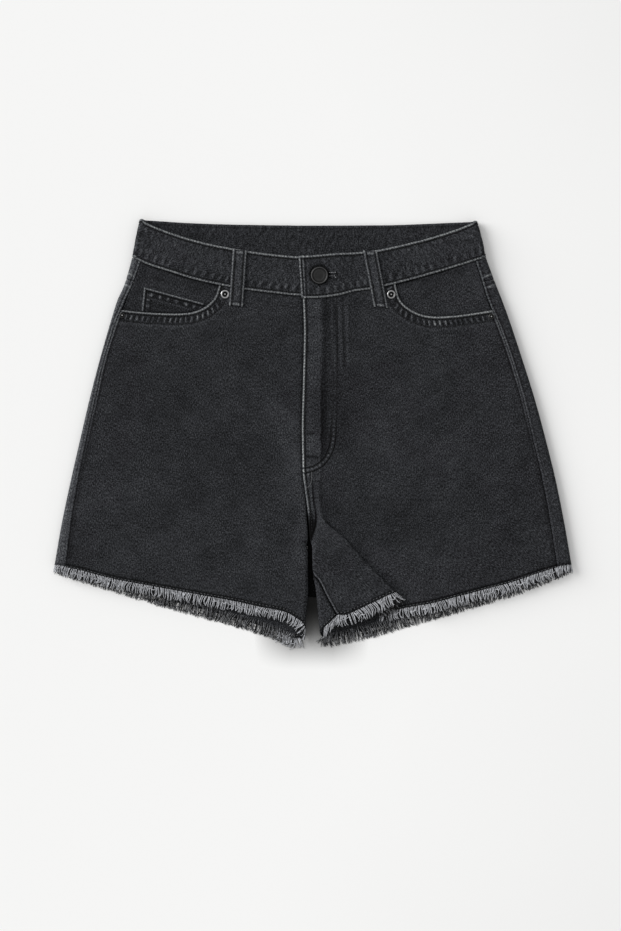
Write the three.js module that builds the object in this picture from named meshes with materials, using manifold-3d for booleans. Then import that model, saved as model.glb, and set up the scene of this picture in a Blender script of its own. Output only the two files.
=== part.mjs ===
// Denim shorts laid flat on their back, front panels up, the way a product table shows them.
// Millimetres. +X is to the right of the laid-out shorts, +Y towards the waistband, +Z up from
// the surface they lie on. "Left" and "right" below are the laid-out left (-X) and right (+X).
// Every cloth piece is a wall of real thickness round a grid of points on its middle surface.
import * as THREE from "three";
import { mergeVertices } from "three/addons/utils/BufferGeometryUtils.js";
import Module from "manifold-3d";

const wasm = await Module();
wasm.setup();

// Driving dimensions
const CLOTH = 1.0; // single layer of denim
const BAND = 2.0; // waistband, two layers and their turnings
const SEAM_GAP = 0.3; // between pieces at a seam
const LAYER = CLOTH + SEAM_GAP; // from one lying layer's middle to the next
const BACK_Z = CLOTH / 2; // middle of the back panels on the surface
const EDGE_RADIUS = 3.2; // middle surface of the soft fold at the sides and inner legs
const FRONT_Z = BACK_Z + 2 * EDGE_RADIUS; // middle of the front panels at the sides
const LOOP_CLOTH = 1.0;
const WAIST_LIFT = LOOP_CLOTH + SEAM_GAP; // the band lies on its back belt loops
const LIFT_REACH = 40; // how far below the waist seam that lift dies away
const BAND_BACK_Z = WAIST_LIFT + BAND / 2;
const BAND_EDGE_RADIUS = (FRONT_Z + WAIST_LIFT - BAND_BACK_Z) / 2;
const BAND_FRONT_Z = BAND_BACK_Z + 2 * BAND_EDGE_RADIUS;
const BAND_LAP = BAND + SEAM_GAP; // rise of the buttoned end over the other end
const FRINGE_STRIP = 1.4; // width of the woven edge that the fringe hangs from
const FRINGE_CLOTH = 0.8;
const FRINGE_LENGTH = 9; // from the cloth's edge to the tips
const STRAND_PITCH = 5.4;
const STRAND_HALF_WIDTH = 0.6;
const STRAND_HALF_HEIGHT = 0.3;
const CROTCH_Y = -106; // where the two legs part
const CROTCH_FADE = 16; // how far below it their rounded inner edges are complete

// Outline of the laid-out shorts: outer edge of each side, and how wide the strip of the back
// is that wraps over it to the side seam
const SIDES = [
  { y: 221, leftEdge: -178.4, leftStrip: 10.4, rightEdge: 168.4, rightStrip: 12.2 },
  { y: 200, leftEdge: -182.9, leftStrip: 10.4, rightEdge: 174.2, rightStrip: 12.2 },
  { y: 181, leftEdge: -186.4, leftStrip: 10.2, rightEdge: 178.3, rightStrip: 12.2 },
  { y: 166, leftEdge: -190.4, leftStrip: 9.4, rightEdge: 183.7, rightStrip: 12.6 },
  { y: 152, leftEdge: -194.9, leftStrip: 8.6, rightEdge: 189.0, rightStrip: 13.6 },
  { y: 138, leftEdge: -201.3, leftStrip: 8.4, rightEdge: 194.6, rightStrip: 14.6 },
  { y: 114, leftEdge: -208.9, leftStrip: 5.9, rightEdge: 203.3, rightStrip: 12.8 },
  { y: 76, leftEdge: -219.8, leftStrip: 4.9, rightEdge: 215.8, rightStrip: 11.6 },
  { y: 37, leftEdge: -229.9, leftStrip: 6.4, rightEdge: 228.1, rightStrip: 12.2 },
  { y: -3, leftEdge: -239.3, leftStrip: 6.9, rightEdge: 239.0, rightStrip: 13.4 },
  { y: -46, leftEdge: -249.1, leftStrip: 7.9, rightEdge: 249.6, rightStrip: 13.9 },
  { y: -93, leftEdge: -259.0, leftStrip: 10.0, rightEdge: 259.1, rightStrip: 14.7 },
  { y: -138, leftEdge: -266.8, leftStrip: 12.2, rightEdge: 266.8, rightStrip: 15.4 },
];
// Free edge of the fly, then the centre seam below it
const CENTRE = [
  { y: 143, x: -10.3 },
  { y: 107, x: -8.6 },
  { y: 51, x: -9.4 },
  { y: 6, x: -10.4 },
  { y: -27, x: -10.0 },
  { y: -54, x: -7.7 },
  { y: -81, x: -3.8 },
  { y: -106, x: -2.8 },
];
// Inner edge of each leg: its silhouette, how far lower the hem of the back lies there than the
// front's, and how far round from the surface the inseam has been pulled
const INNER_LEFT = [
  { y: -106, edge: -3.2, drop: 0, seam: 0.6 },
  { y: -130, edge: -4.6, drop: 3, seam: 0.6 },
  { y: -171, edge: -7.2, drop: 11, seam: 0.6 },
  { y: -194, edge: -8.0, drop: 17, seam: 0.6 },
];
const INNER_RIGHT = [
  { y: -106, edge: -2.2, drop: 0, seam: 0.6 },
  { y: -120, edge: -1.0, drop: 3, seam: 0.6 },
  { y: -131, edge: -0.8, drop: 6, seam: 2.6 },
  { y: -142, edge: 0.2, drop: 10, seam: 7.2 },
  { y: -152, edge: 2.6, drop: 13, seam: 11.3 },
  { y: -165, edge: 4.4, drop: 17, seam: 15.7 },
  { y: -187, edge: 7.2, drop: 23, seam: 23.1 },
];
// Waist seam under the front of the band and the top edges of the band
const WAIST_SEAM = [
  { x: -187, y: 182.2 },
  { x: -169, y: 173.9 },
  { x: -144, y: 165.8 },
  { x: -124, y: 159.5 },
  { x: -98, y: 153.5 },
  { x: -72, y: 148.8 },
  { x: -40, y: 144.8 },
  { x: -12, y: 142.2 },
  { x: 2, y: 142.3 },
  { x: 32, y: 145.6 },
  { x: 58, y: 148.6 },
  { x: 77, y: 152.6 },
  { x: 115, y: 162.4 },
  { x: 145, y: 171.3 },
  { x: 178, y: 181.6 },
];
const BAND_TOP_FRONT = [
  { x: -179, y: 220.6 },
  { x: -157, y: 210.8 },
  { x: -121, y: 199.0 },
  { x: -83, y: 190.8 },
  { x: -40, y: 184.6 },
  { x: -12, y: 182.4 },
  { x: 18, y: 184.6 },
  { x: 65, y: 188.9 },
  { x: 92, y: 194.6 },
  { x: 115, y: 200.2 },
  { x: 145, y: 209.4 },
  { x: 169, y: 218.8 },
];
const BAND_TOP_BACK = [
  { x: -179, y: 220.6 },
  { x: -119, y: 217.0 },
  { x: -72, y: 215.6 },
  { x: 0, y: 214.8 },
  { x: 77, y: 215.2 },
  { x: 123, y: 216.8 },
  { x: 169, y: 218.8 },
];
const BAND_SEAM_BACK = { middle: 175, rise: 6.9, reach: 182 };
const YOKE_SEAM = [
  { x: -190.4, y: 158.6 },
  { x: -110, y: 131.0 },
  { x: -2, y: 112.0 },
  { x: 110, y: 131.0 },
  { x: 184, y: 158.6 },
];
// Edge of each scooped front pocket, from the side seam to the waist seam
const POCKET_LEFT = [
  [-195.6, 127.5],
  [-182.4, 126.0],
  [-158.7, 124.3],
  [-135.1, 124.0],
  [-122.6, 125.6],
  [-109.9, 131.2],
  [-100.8, 140.6],
  [-96.6, 152.6],
];
const POCKET_RIGHT = [
  [183.4, 127.0],
  [167.9, 124.6],
  [145.2, 121.6],
  [122.6, 120.8],
  [110.5, 123.1],
  [98.4, 129.2],
  [89.3, 138.2],
  [84.6, 154.2],
];
// Front hems, from the rail under the pocket's end to the inner edge or the fold
const HEM_LEFT = [
  [-122.5, -161.0],
  [-64.4, -172.0],
  [-26.0, -183.4],
  [-10.2, -194.0],
];
const HEM_RIGHT = [
  [120.0, -171.4],
  [97.0, -175.4],
  [80.0, -179.4],
  [64.9, -183.6],
];
// Sections down the left front: side and inner are heights on those edges
const FRONT_LEFT = [
  { side: 127.6, mid: [-96.6, 152.6], inner: 141.6, innerZ: FRONT_Z - 0.4, rows: 2 },
  { side: 85, mid: [-100, 95], inner: 92, innerZ: FRONT_Z - 0.4, rows: 2 },
  { side: 38, mid: [-105, 42], inner: 38, innerZ: FRONT_Z - 0.4, rows: 2 },
  { side: -8, mid: [-110, -10], inner: -15, innerZ: FRONT_Z - 0.4, rows: 2 },
  { side: -48, mid: [-115, -55], inner: -62, innerZ: FRONT_Z - 0.4, rows: 2 },
  { side: -86, mid: [-118.6, -97], inner: -106, innerZ: FRONT_Z - 0.2, rows: 1 },
  { side: -100, mid: [-120, -115], inner: -125, innerZ: FRONT_Z, rows: 1 },
  { side: -114, mid: [-121, -133], inner: -150, innerZ: FRONT_Z, rows: 1 },
  { side: -126, mid: [-121.9, -148], inner: -172, innerZ: FRONT_Z, rows: 1 },
  { side: -136.9, mid: [-122.5, -161], inner: -194, innerZ: FRONT_Z },
];
// Sections down the right front. The pleat at the inner leg runs from the valley, its lower bend,
// to the ridge, its upper bend. It starts as the step beside the fly and laps over at the hem.
// The last number of valley, ridge and inner is a height from the front's own level.
const FRONT_RIGHT = [
  {
    side: 127.2, mid: [84.6, 154.2], inner: [142, 0.9], rows: 2,
    valley: [15.5, 143.2, 0.2], ridge: [9.5, 142.5, 0.9],
  },
  {
    side: 78, mid: [90, 92], inner: [82, 0.9], rows: 2,
    valley: [15, 82, 0], ridge: [9, 82, 0.9],
  },
  {
    side: 24, mid: [96, 26], inner: [20, 0.9], rows: 2,
    valley: [14.2, 20, -0.1], ridge: [8.6, 20, 0.9],
  },
  {
    side: -24, mid: [102, -28], inner: [-26, 0.9], rows: 1,
    valley: [13, -24, -0.3], ridge: [7.4, -24, 0.9],
  },
  {
    side: -54, mid: [106, -64], inner: [-56, 0.9], rows: 1,
    valley: [11, -57, -0.9], ridge: [5.6, -57, 1],
  },
  {
    side: -76, mid: [109, -92], inner: [-81, 0.2], rows: 2,
    valley: [13.4, -87, -2.3], ridge: [7.8, -83, 1],
  },
  {
    side: -95, mid: [112, -116], inner: [-106, -0.1], rows: 1,
    valley: [27.6, -115, -4.5], ridge: [33, -107.5, 0.9],
  },
  {
    side: -101.4, mid: [113.2, -124], inner: [-118, 0], rows: 1,
    valley: [33.5, -127.4, -5.1], ridge: [41.6, -117.3, 0.7],
  },
  {
    side: -106.7, mid: [114.2, -130.7], inner: [-128, 0], rows: 1,
    valley: [38.5, -137.7, -5.1], ridge: [48.8, -125.5, 0.7],
  },
  {
    side: -111, mid: [115, -136], inner: [-136, 0], rows: 1,
    valley: [42.4, -146, -5.1], ridge: [54.5, -132, 0.7],
  },
  {
    side: -115.5, mid: [115.8, -141.8], inner: [-144, 0], rows: 1,
    valley: [46.1, -152.2, -5.1], ridge: [59.5, -137.1, 0.7],
  },
  {
    side: -121.1, mid: [116.8, -149], inner: [-154, 0], rows: 1,
    valley: [50.8, -160, -5.1], ridge: [65.7, -143.5, 0.7],
  },
  {
    side: -129.2, mid: [118.4, -160], inner: [-170, 0], rows: 1,
    valley: [57.8, -171.8, -5.1], ridge: [75.5, -153.4, 0.7],
  },
  {
    side: -137, mid: [120, -171.4], inner: [-187, 0],
    valley: [64.9, -183.6, -5.1], ridge: [85.8, -163.6, 0.7],
  },
];
// Sections down each back panel: heights at the outer edge, the side seam and the inner edge
const BACK_LEFT = [
  { edge: 158.3, seam: 157.2, inner: 111.7, rows: 1 },
  { edge: 128.4, seam: 127.6, inner: 88, rows: 2 },
  { edge: 85.6, seam: 85, inner: 50, rows: 2 },
  { edge: 38.4, seam: 38, inner: 12, rows: 2 },
  { edge: -7.6, seam: -8, inner: -25, rows: 2 },
  { edge: -47.6, seam: -48, inner: -66, rows: 2 },
  { edge: -85.6, seam: -86, inner: -106, rows: 1 },
  { edge: -99.4, seam: -100, inner: -125, rows: 1 },
  { edge: -113.2, seam: -114, inner: -150, rows: 1 },
  { edge: -125.1, seam: -126, inner: -172, rows: 1 },
  { edge: -135.6, seam: -136.9, inner: -194 },
];
const BACK_RIGHT = [
  { edge: 158.3, seam: 156.6, inner: 111.7, rows: 1 },
  { edge: 128, seam: 127.2, inner: 88, rows: 2 },
  { edge: 78.4, seam: 78, inner: 45, rows: 2 },
  { edge: 24.4, seam: 24, inner: 0, rows: 2 },
  { edge: -23.6, seam: -24, inner: -38, rows: 1 },
  { edge: -53.6, seam: -54, inner: -64, rows: 1 },
  { edge: -75.4, seam: -76, inner: -84, rows: 2 },
  { edge: -94.4, seam: -95, inner: -106, rows: 1 },
  { edge: -100.7, seam: -101.4, inner: -118, rows: 1 },
  { edge: -105.9, seam: -106.7, inner: -128, rows: 1 },
  { edge: -110.1, seam: -111, inner: -136, rows: 1 },
  { edge: -114.5, seam: -115.5, inner: -144, rows: 1 },
  { edge: -119.9, seam: -121.1, inner: -154, rows: 1 },
  { edge: -127.8, seam: -129.2, inner: -170, rows: 1 },
  { edge: -135.4, seam: -137, inner: -187 },
];
// Back hems on the surface, from the outer edge to the inner edge
const HEM_BACK_LEFT = [
  [-263.5, -136.0],
  [-219.0, -149.5],
  [-143.0, -171.5],
  [-64.0, -192.0],
  [-30.0, -202.5],
  [-10.3, -211.0],
];
const HEM_BACK_RIGHT = [
  [264.4, -136.0],
  [226.6, -151.6],
  [177.0, -167.0],
  [87.6, -191.4],
  [45.3, -202.6],
  [9.5, -210.0],
];
// Soft folds of the cloth: ridges up (height > 0) or troughs, between two points
const FOLDS = [
  { from: [-12, -62], to: [-78, -158], width: 15, height: 0.75 },
  { from: [-30, -70], to: [-150, -120], width: 22, height: 0.35 },
  { from: [-95, 120], to: [-70, -10], width: 30, height: 0.4 },
  { from: [-150, 70], to: [-185, -90], width: 34, height: 0.45 },
  { from: [-28, 120], to: [-24, 10], width: 7, height: -0.3 },
  { from: [26, 138], to: [28, 30], width: 5, height: -0.4 },
  { from: [40, 138], to: [44, 70], width: 6, height: 0.35 },
  { from: [110, 100], to: [150, -60], width: 36, height: 0.5 },
  { from: [92, -60], to: [150, -140], width: 20, height: 0.5 },
  { from: [195, 40], to: [222, -100], width: 16, height: 0.3 },
];

const lerp = (a, b, t) => a + (b - a) * t;
const smooth = (a, b, x) => THREE.MathUtils.smoothstep(x, Math.min(a, b), Math.max(a, b));

// Smooth curve through a table's rows: returns the value of one column at a place in another
function column(table, key, name) {
  const rows = [...table].sort((p, q) => p[key] - q[key]);
  const slope = rows.map((_, i) => {
    if (i === 0 || i === rows.length - 1) return 0;
    const before = (rows[i][name] - rows[i - 1][name]) / (rows[i][key] - rows[i - 1][key]);
    const after = (rows[i + 1][name] - rows[i][name]) / (rows[i + 1][key] - rows[i][key]);
    return before * after > 0 ? (2 * before * after) / (before + after) : 0;
  });
  const last = rows.length - 1;
  slope[0] = (rows[1][name] - rows[0][name]) / (rows[1][key] - rows[0][key]);
  slope[last] = (rows[last][name] - rows[last - 1][name]) / (rows[last][key] - rows[last - 1][key]);
  return (at) => {
    if (at <= rows[0][key]) return rows[0][name] + slope[0] * (at - rows[0][key]);
    if (at >= rows[last][key]) return rows[last][name] + slope[last] * (at - rows[last][key]);
    const i = rows.findIndex((row) => row[key] > at) - 1;
    const step = rows[i + 1][key] - rows[i][key];
    const t = (at - rows[i][key]) / step;
    return (
      rows[i][name] * (1 + 2 * t) * (1 - t) ** 2 +
      slope[i] * step * t * (1 - t) ** 2 +
      rows[i + 1][name] * t * t * (3 - 2 * t) +
      slope[i + 1] * step * t * t * (t - 1)
    );
  };
}

// Smooth curve through evenly numbered rows of a table, from 0 at its first to 1 at its last
function rail(table, read) {
  const rows = table.map((row, i) => ({ i: i / (table.length - 1), value: read(row) }));
  return column(rows, "i", "value");
}

// Smooth plane curve through points, by share of its length
function planeCurve(points) {
  const curve = new THREE.CatmullRomCurve3(points.map(([x, y]) => new THREE.Vector3(x, y, 0)));
  return (share) => curve.getPointAt(THREE.MathUtils.clamp(share, 0, 1));
}

const leftEdge = column(SIDES, "y", "leftEdge");
const leftStrip = column(SIDES, "y", "leftStrip");
const rightEdge = column(SIDES, "y", "rightEdge");
const rightStrip = column(SIDES, "y", "rightStrip");
const centre = column(CENTRE, "y", "x");
const waistSeam = column(WAIST_SEAM, "x", "y");
const bandTopFront = column(BAND_TOP_FRONT, "x", "y");
const bandTopBack = column(BAND_TOP_BACK, "x", "y");
const bandSeamBack = (x) => BAND_SEAM_BACK.middle + BAND_SEAM_BACK.rise * (x / BAND_SEAM_BACK.reach) ** 2;
const yokeSeam = column(YOKE_SEAM, "x", "y");

// side is -1 for the left leg and 1 for the right one
const edgeX = (side, y) => (side < 0 ? leftEdge(y) : rightEdge(y));
const sideSeamX = (side, y) => (side < 0 ? leftEdge(y) + leftStrip(y) : rightEdge(y) - rightStrip(y));

// How far every layer is lifted near the waist, where the band lies on its belt loops
const waistLift = (x, y) => WAIST_LIFT * (1 - smooth(0, LIFT_REACH, waistSeam(x) - y));

// Height that the soft folds add to the front at a point
function foldHeight(x, y) {
  return FOLDS.reduce((sum, { from, to, width, height }) => {
    const [dx, dy] = [to[0] - from[0], to[1] - from[1]];
    const t = ((x - from[0]) * dx + (y - from[1]) * dy) / (dx * dx + dy * dy);
    const near = THREE.MathUtils.clamp(t, 0, 1);
    const away = Math.hypot(x - from[0] - near * dx, y - from[1] - near * dy) / width;
    return sum + height * Math.exp(-away * away);
  }, 0);
}

// The rounded inner edge of a leg. reach is the length round the edge from where the cloth leaves
// the surface: negative on the surface, then round the edge, then inwards along the top.
const innerTables = {
  "-1": ["edge", "drop", "seam"].map((name) => column(INNER_LEFT, "y", name)),
  1: ["edge", "drop", "seam"].map((name) => column(INNER_RIGHT, "y", name)),
};
const inseam = (side, y) => innerTables[side][2](y);
function innerEdge(side, y, reach) {
  const [edge, drop, seam] = innerTables[side];
  const half = Math.PI * EDGE_RADIUS;
  const turn = THREE.MathUtils.clamp(reach / EDGE_RADIUS, 0, Math.PI);
  const inwards = reach < 0 ? -reach : Math.max(0, reach - half);
  const middle = edge(y) + side * (CLOTH / 2 + EDGE_RADIUS);
  return new THREE.Vector3(
    middle - side * EDGE_RADIUS * Math.sin(turn) + side * inwards,
    y - drop(y) * (1 - THREE.MathUtils.clamp(reach / Math.max(half, seam(y)), 0, 1)),
    BACK_Z + EDGE_RADIUS * (1 - Math.cos(turn)),
  );
}

// A closed wall of cloth round a grid of points on its middle surface
function wall(grid, thickness) {
  const rows = grid.length;
  const columns = grid[0].length;
  const positions = [];
  const at = (i, j) => grid[THREE.MathUtils.clamp(i, 0, rows - 1)][THREE.MathUtils.clamp(j, 0, columns - 1)];
  const normals = grid.map((row, i) =>
    row.map((_, j) =>
      new THREE.Vector3()
        .subVectors(at(i, j + 1), at(i, j - 1))
        .cross(new THREE.Vector3().subVectors(at(i + 1, j), at(i - 1, j)))
        .normalize(),
    ),
  );
  for (const face of [1, -1])
    for (let i = 0; i < rows; i++)
      for (let j = 0; j < columns; j++)
        positions.push(...at(i, j).clone().addScaledVector(normals[i][j], (face * thickness) / 2));
  const outer = (i, j) => i * columns + j;
  const inner = (i, j) => rows * columns + outer(i, j);
  const faces = [];
  const quad = (a, b, c, d) => faces.push(a, b, c, a, c, d);
  for (let i = 0; i < rows - 1; i++)
    for (let j = 0; j < columns - 1; j++) {
      quad(outer(i, j), outer(i, j + 1), outer(i + 1, j + 1), outer(i + 1, j));
      quad(inner(i, j), inner(i + 1, j), inner(i + 1, j + 1), inner(i, j + 1));
    }
  for (let j = 0; j < columns - 1; j++) {
    quad(outer(0, j), inner(0, j), inner(0, j + 1), outer(0, j + 1));
    quad(outer(rows - 1, j + 1), inner(rows - 1, j + 1), inner(rows - 1, j), outer(rows - 1, j));
  }
  for (let i = 0; i < rows - 1; i++) {
    quad(outer(i + 1, 0), inner(i + 1, 0), inner(i, 0), outer(i, 0));
    quad(outer(i, columns - 1), inner(i, columns - 1), inner(i + 1, columns - 1), outer(i + 1, columns - 1));
  }
  const geometry = new THREE.BufferGeometry();
  geometry.setAttribute("position", new THREE.Float32BufferAttribute(positions, 3));
  geometry.setIndex(faces);
  return facingOut(geometry);
}

// Turns every face round if the closed geometry is inside out
function facingOut(geometry) {
  const [points, index] = [geometry.attributes.position, geometry.index.array];
  const [a, b, c] = [0, 1, 2].map(() => new THREE.Vector3());
  let volume = 0;
  for (let i = 0; i < index.length; i += 3) {
    [a, b, c].forEach((corner, k) => corner.fromBufferAttribute(points, index[i + k]));
    volume += a.dot(b.cross(c));
  }
  if (volume < 0) for (let i = 0; i < index.length; i += 3) index.subarray(i + 1, i + 3).reverse();
  return geometry;
}

// Sections down a piece: how many rows, each made by section(share down the piece)
const sections = (rows, section) => Array.from({ length: rows + 1 }, (_, i) => section(i / rows));
// Sections at each row of a table, and as many more between two rows as the first of them asks for
const sectionsOf = (table, section) =>
  table.flatMap(({ rows = 1 }, i) =>
    Array.from({ length: rows }, (_, k) => section((i + k / rows) / (table.length - 1))),
  );
const steps = (count, make, from = 0) =>
  Array.from({ length: count + 1 - from }, (_, k) => make((k + from) / count));

// Stretch of a front panel between two rails, bowed at its top and hem to follow those edges
function stretch(count, down, [ax, ay, az], [bx, by, bz], top, hem, { from = 0, level = 1 } = {}) {
  const [topStart, topEnd] = [top(0), top(1)];
  const [hemStart, hemEnd] = [hem(0), hem(1)];
  return steps(
    count,
    (s) => {
      const [t, h] = [top(s), hem(s)];
      const x =
        lerp(ax, bx, s) +
        (1 - down) ** 2 * (t.x - lerp(topStart.x, topEnd.x, s)) +
        down ** 2 * (h.x - lerp(hemStart.x, hemEnd.x, s));
      const y =
        lerp(ay, by, s) +
        (1 - down) ** 2 * (t.y - lerp(topStart.y, topEnd.y, s)) +
        down ** 2 * (h.y - lerp(hemStart.y, hemEnd.y, s));
      return new THREE.Vector3(x, y, lerp(az, bz, smooth(0, level, s)));
    },
    from,
  );
}

const straight = (a, b) => (s) => new THREE.Vector3(lerp(a[0], b[0], s), lerp(a[1], b[1], s), 0);
const waistLine = (from, to) => (s) => {
  const x = lerp(from, to, s);
  return new THREE.Vector3(x, waistSeam(x) - SEAM_GAP, 0);
};

// Lifts a row of the front by its folds, dying out at its ends, and by the lift at the waist
function settle(row, sideX, innerX) {
  const fade = 22;
  return row.map((p) => {
    const inside = smooth(0, fade, Math.abs(p.x - sideX)) * smooth(0, fade, Math.abs(p.x - innerX));
    p.z += foldHeight(p.x, p.y) * inside + waistLift(p.x, p.y);
    return p;
  });
}

const SIDE_COLUMNS = 7; // from the side seam to the end of the pocket opening
const MIDDLE_COLUMNS = 6; // from there to the pleat or the inner end
const EDGE_COLUMNS = 7;
const EDGE_SPAN = 9.5; // cloth before the inner seam that may turn round the edge
const INSEAM_GAP = 0.6; // wider than other seams, as its two panels turn round the edge together
// End of a front row: flat up to the centre seam above the crotch, round the leg's edge below it
function innerEnd(side, y, flatX, flatZ) {
  const below = 1 - smooth(CROTCH_Y - CROTCH_FADE, CROTCH_Y, y);
  return steps(EDGE_COLUMNS, (s) => {
    const left = EDGE_SPAN * (1 - s);
    const flat = new THREE.Vector3(flatX + side * left, y, flatZ);
    const round = innerEdge(side, y, inseam(side, y) + INSEAM_GAP / 2 + left);
    return flat.lerp(round, below);
  });
}

// Left front: from the side seam to under the fly, then round the inner edge of the leg
const frontLeftGrid = sectionsOf(FRONT_LEFT, (down) => {
  const sideY = rail(FRONT_LEFT, (r) => r.side)(down);
  const mid = [0, 1].map((k) => rail(FRONT_LEFT, (r) => r.mid[k])(down));
  const innerY = rail(FRONT_LEFT, (r) => r.inner)(down);
  const innerZ = rail(FRONT_LEFT, (r) => r.innerZ)(down);
  const underlap = lerp(-SEAM_GAP, 8, smooth(-56, -30, innerY));
  const innerX = innerY > CROTCH_Y ? centre(innerY) + underlap : centre(CROTCH_Y) - SEAM_GAP;
  const side = [sideSeamX(-1, sideY) + SEAM_GAP / 2, sideY, FRONT_Z];
  const end = innerEnd(-1, innerY, innerX, innerZ);
  const endStart = end[0].toArray();
  const row = [
    ...stretch(
      SIDE_COLUMNS,
      down,
      side,
      [...mid, FRONT_Z],
      planeCurve(POCKET_LEFT),
      straight([-254.6, -136.9], [-122.5, -161]),
    ),
    ...stretch(
      MIDDLE_COLUMNS,
      down,
      [...mid, FRONT_Z],
      endStart,
      waistLine(POCKET_LEFT[7][0], centre(141) + 8 - EDGE_SPAN),
      planeCurve(HEM_LEFT),
      { from: 1 },
    ).slice(0, -1),
    ...end,
  ];
  return settle(row, side[0], innerX);
});

const PLEAT_RADIUS = 1.45;
const PLEAT_TURN = 3; // steps round each bend of the pleat
// Path of the pleat from its valley to its ridge in one section, as it stands when fully lapped
function pleat(valley, ridge) {
  const turn = (centreAt, from, to) =>
    steps(PLEAT_TURN, (s) => {
      const angle = lerp(from, to, s);
      return new THREE.Vector3(
        centreAt.x + PLEAT_RADIUS * Math.cos(angle),
        centreAt.y,
        centreAt.z + PLEAT_RADIUS * Math.sin(angle),
      );
    });
  const low = new THREE.Vector3(valley.x + PLEAT_RADIUS, valley.y, valley.z + PLEAT_RADIUS);
  const high = new THREE.Vector3(ridge.x - PLEAT_RADIUS, ridge.y, ridge.z - PLEAT_RADIUS);
  return [
    ...turn(low, -Math.PI / 2, -1.5 * Math.PI),
    ...turn(high, -Math.PI / 2, Math.PI / 2),
  ];
}

// Right front: from the side seam to the pleat, through it, then to the fly or the inseam
const frontRightGrid = sectionsOf(FRONT_RIGHT, (down) => {
  const read = (pick) => rail(FRONT_RIGHT, pick)(down);
  const sideY = read((r) => r.side);
  const mid = [0, 1].map((k) => read((r) => r.mid[k]));
  const level = new THREE.Vector3(0, 0, FRONT_Z);
  const valley = new THREE.Vector3(...[0, 1, 2].map((k) => read((r) => r.valley[k]))).add(level);
  const ridge = new THREE.Vector3(...[0, 1, 2].map((k) => read((r) => r.ridge[k]))).add(level);
  const [innerY, innerRise] = [0, 1].map((k) => read((r) => r.inner[k]));
  const innerX = innerY > CROTCH_Y ? centre(innerY) : centre(CROTCH_Y);
  const side = [sideSeamX(1, sideY) - SEAM_GAP / 2, sideY, FRONT_Z];
  const end = innerEnd(1, innerY, innerX, FRONT_Z + innerRise);
  const lapped = smooth(-3, 4, ridge.x - valley.x);
  const bends = pleat(valley, ridge);
  const slope = steps(bends.length - 1, (s) =>
    new THREE.Vector3().lerpVectors(valley, ridge, s).setZ(lerp(valley.z, ridge.z, smooth(0, 1, s))),
  );
  const step = slope.map((p, k) => p.lerp(bends[k], lapped));
  const first = step[0].toArray();
  const lastBend = step[step.length - 1];
  const row = [
    ...stretch(
      SIDE_COLUMNS,
      down,
      side,
      [...mid, FRONT_Z],
      planeCurve(POCKET_RIGHT),
      straight([250.6, -137], [120, -171.4]),
    ),
    ...stretch(
      MIDDLE_COLUMNS,
      down,
      [...mid, FRONT_Z],
      first,
      waistLine(POCKET_RIGHT[7][0], 15.5),
      planeCurve(HEM_RIGHT),
      { from: 1, level: 0.65 },
    ),
    ...step.slice(1),
    ...steps(4, (s) => new THREE.Vector3().lerpVectors(lastBend, end[0], s), 1).slice(0, -1),
    ...end,
  ];
  const fromPleat = Math.max(valley.x, ridge.x) + 4;
  return row.map((p) => {
    const inside = smooth(0, 22, side[0] - p.x) * smooth(0, 16, p.x - fromPleat);
    p.z += foldHeight(p.x, p.y) * inside + waistLift(p.x, p.y);
    return p;
  });
});

// Back pockets: patches under the back panels, which are raised over them
const BACK_POCKET = {
  centre: 96,
  top: 86,
  bottom: -52,
  halfTop: 64,
  halfBottom: 56,
  point: 14,
  cloth: 0.9,
};
const POCKET_RISE = BACK_POCKET.cloth + SEAM_GAP;
function pocketRise(x, y) {
  const middle = (BACK_POCKET.top + BACK_POCKET.bottom) / 2;
  const half = (BACK_POCKET.top - BACK_POCKET.bottom) / 2;
  const dx = Math.max(0, Math.abs(Math.abs(x) - BACK_POCKET.centre) - BACK_POCKET.halfTop - 11);
  const dy = Math.max(0, Math.abs(y - middle) - half - 12);
  return POCKET_RISE * (1 - smooth(0, 14, Math.hypot(dx, dy)));
}

const FLOOR_COLUMNS = 11;
const SIDE_TURN = 5;
// One section of a back panel or yoke: from its inner edge along the surface, round the outer
// edge and back over the top to the side seam
function backRow(side, inner, floorY, edgeY, seamY) {
  const edge = edgeX(side, edgeY);
  const bend = edge - side * (CLOTH / 2 + EDGE_RADIUS);
  const innerEndPoint = inner[inner.length - 1];
  const floor = steps(FLOOR_COLUMNS, (s) => {
    const x = lerp(innerEndPoint.x, bend, s);
    return new THREE.Vector3(x, floorY(s, x), BACK_Z + pocketRise(x, floorY(s, x)));
  }, 1);
  const turn = steps(SIDE_TURN, (s) => {
    const angle = Math.PI * s;
    return new THREE.Vector3(
      bend + side * EDGE_RADIUS * Math.sin(angle),
      edgeY,
      BACK_Z + EDGE_RADIUS * (1 - Math.cos(angle)),
    );
  }, 1);
  const seamX = sideSeamX(side, seamY) + (side * SEAM_GAP) / 2;
  const strip = steps(2, (s) => {
    const x = lerp(bend, seamX, s);
    return new THREE.Vector3(x, Math.min(lerp(edgeY, seamY, s), waistSeam(x) - 0.6), FRONT_Z);
  }, 1);
  return [...inner, ...floor, ...turn, ...strip].map((p) => {
    p.z += waistLift(p.x, p.y);
    return p;
  });
}

const CENTRE_BACK_X = -2;
const INNER_COLUMNS = 8;
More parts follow.
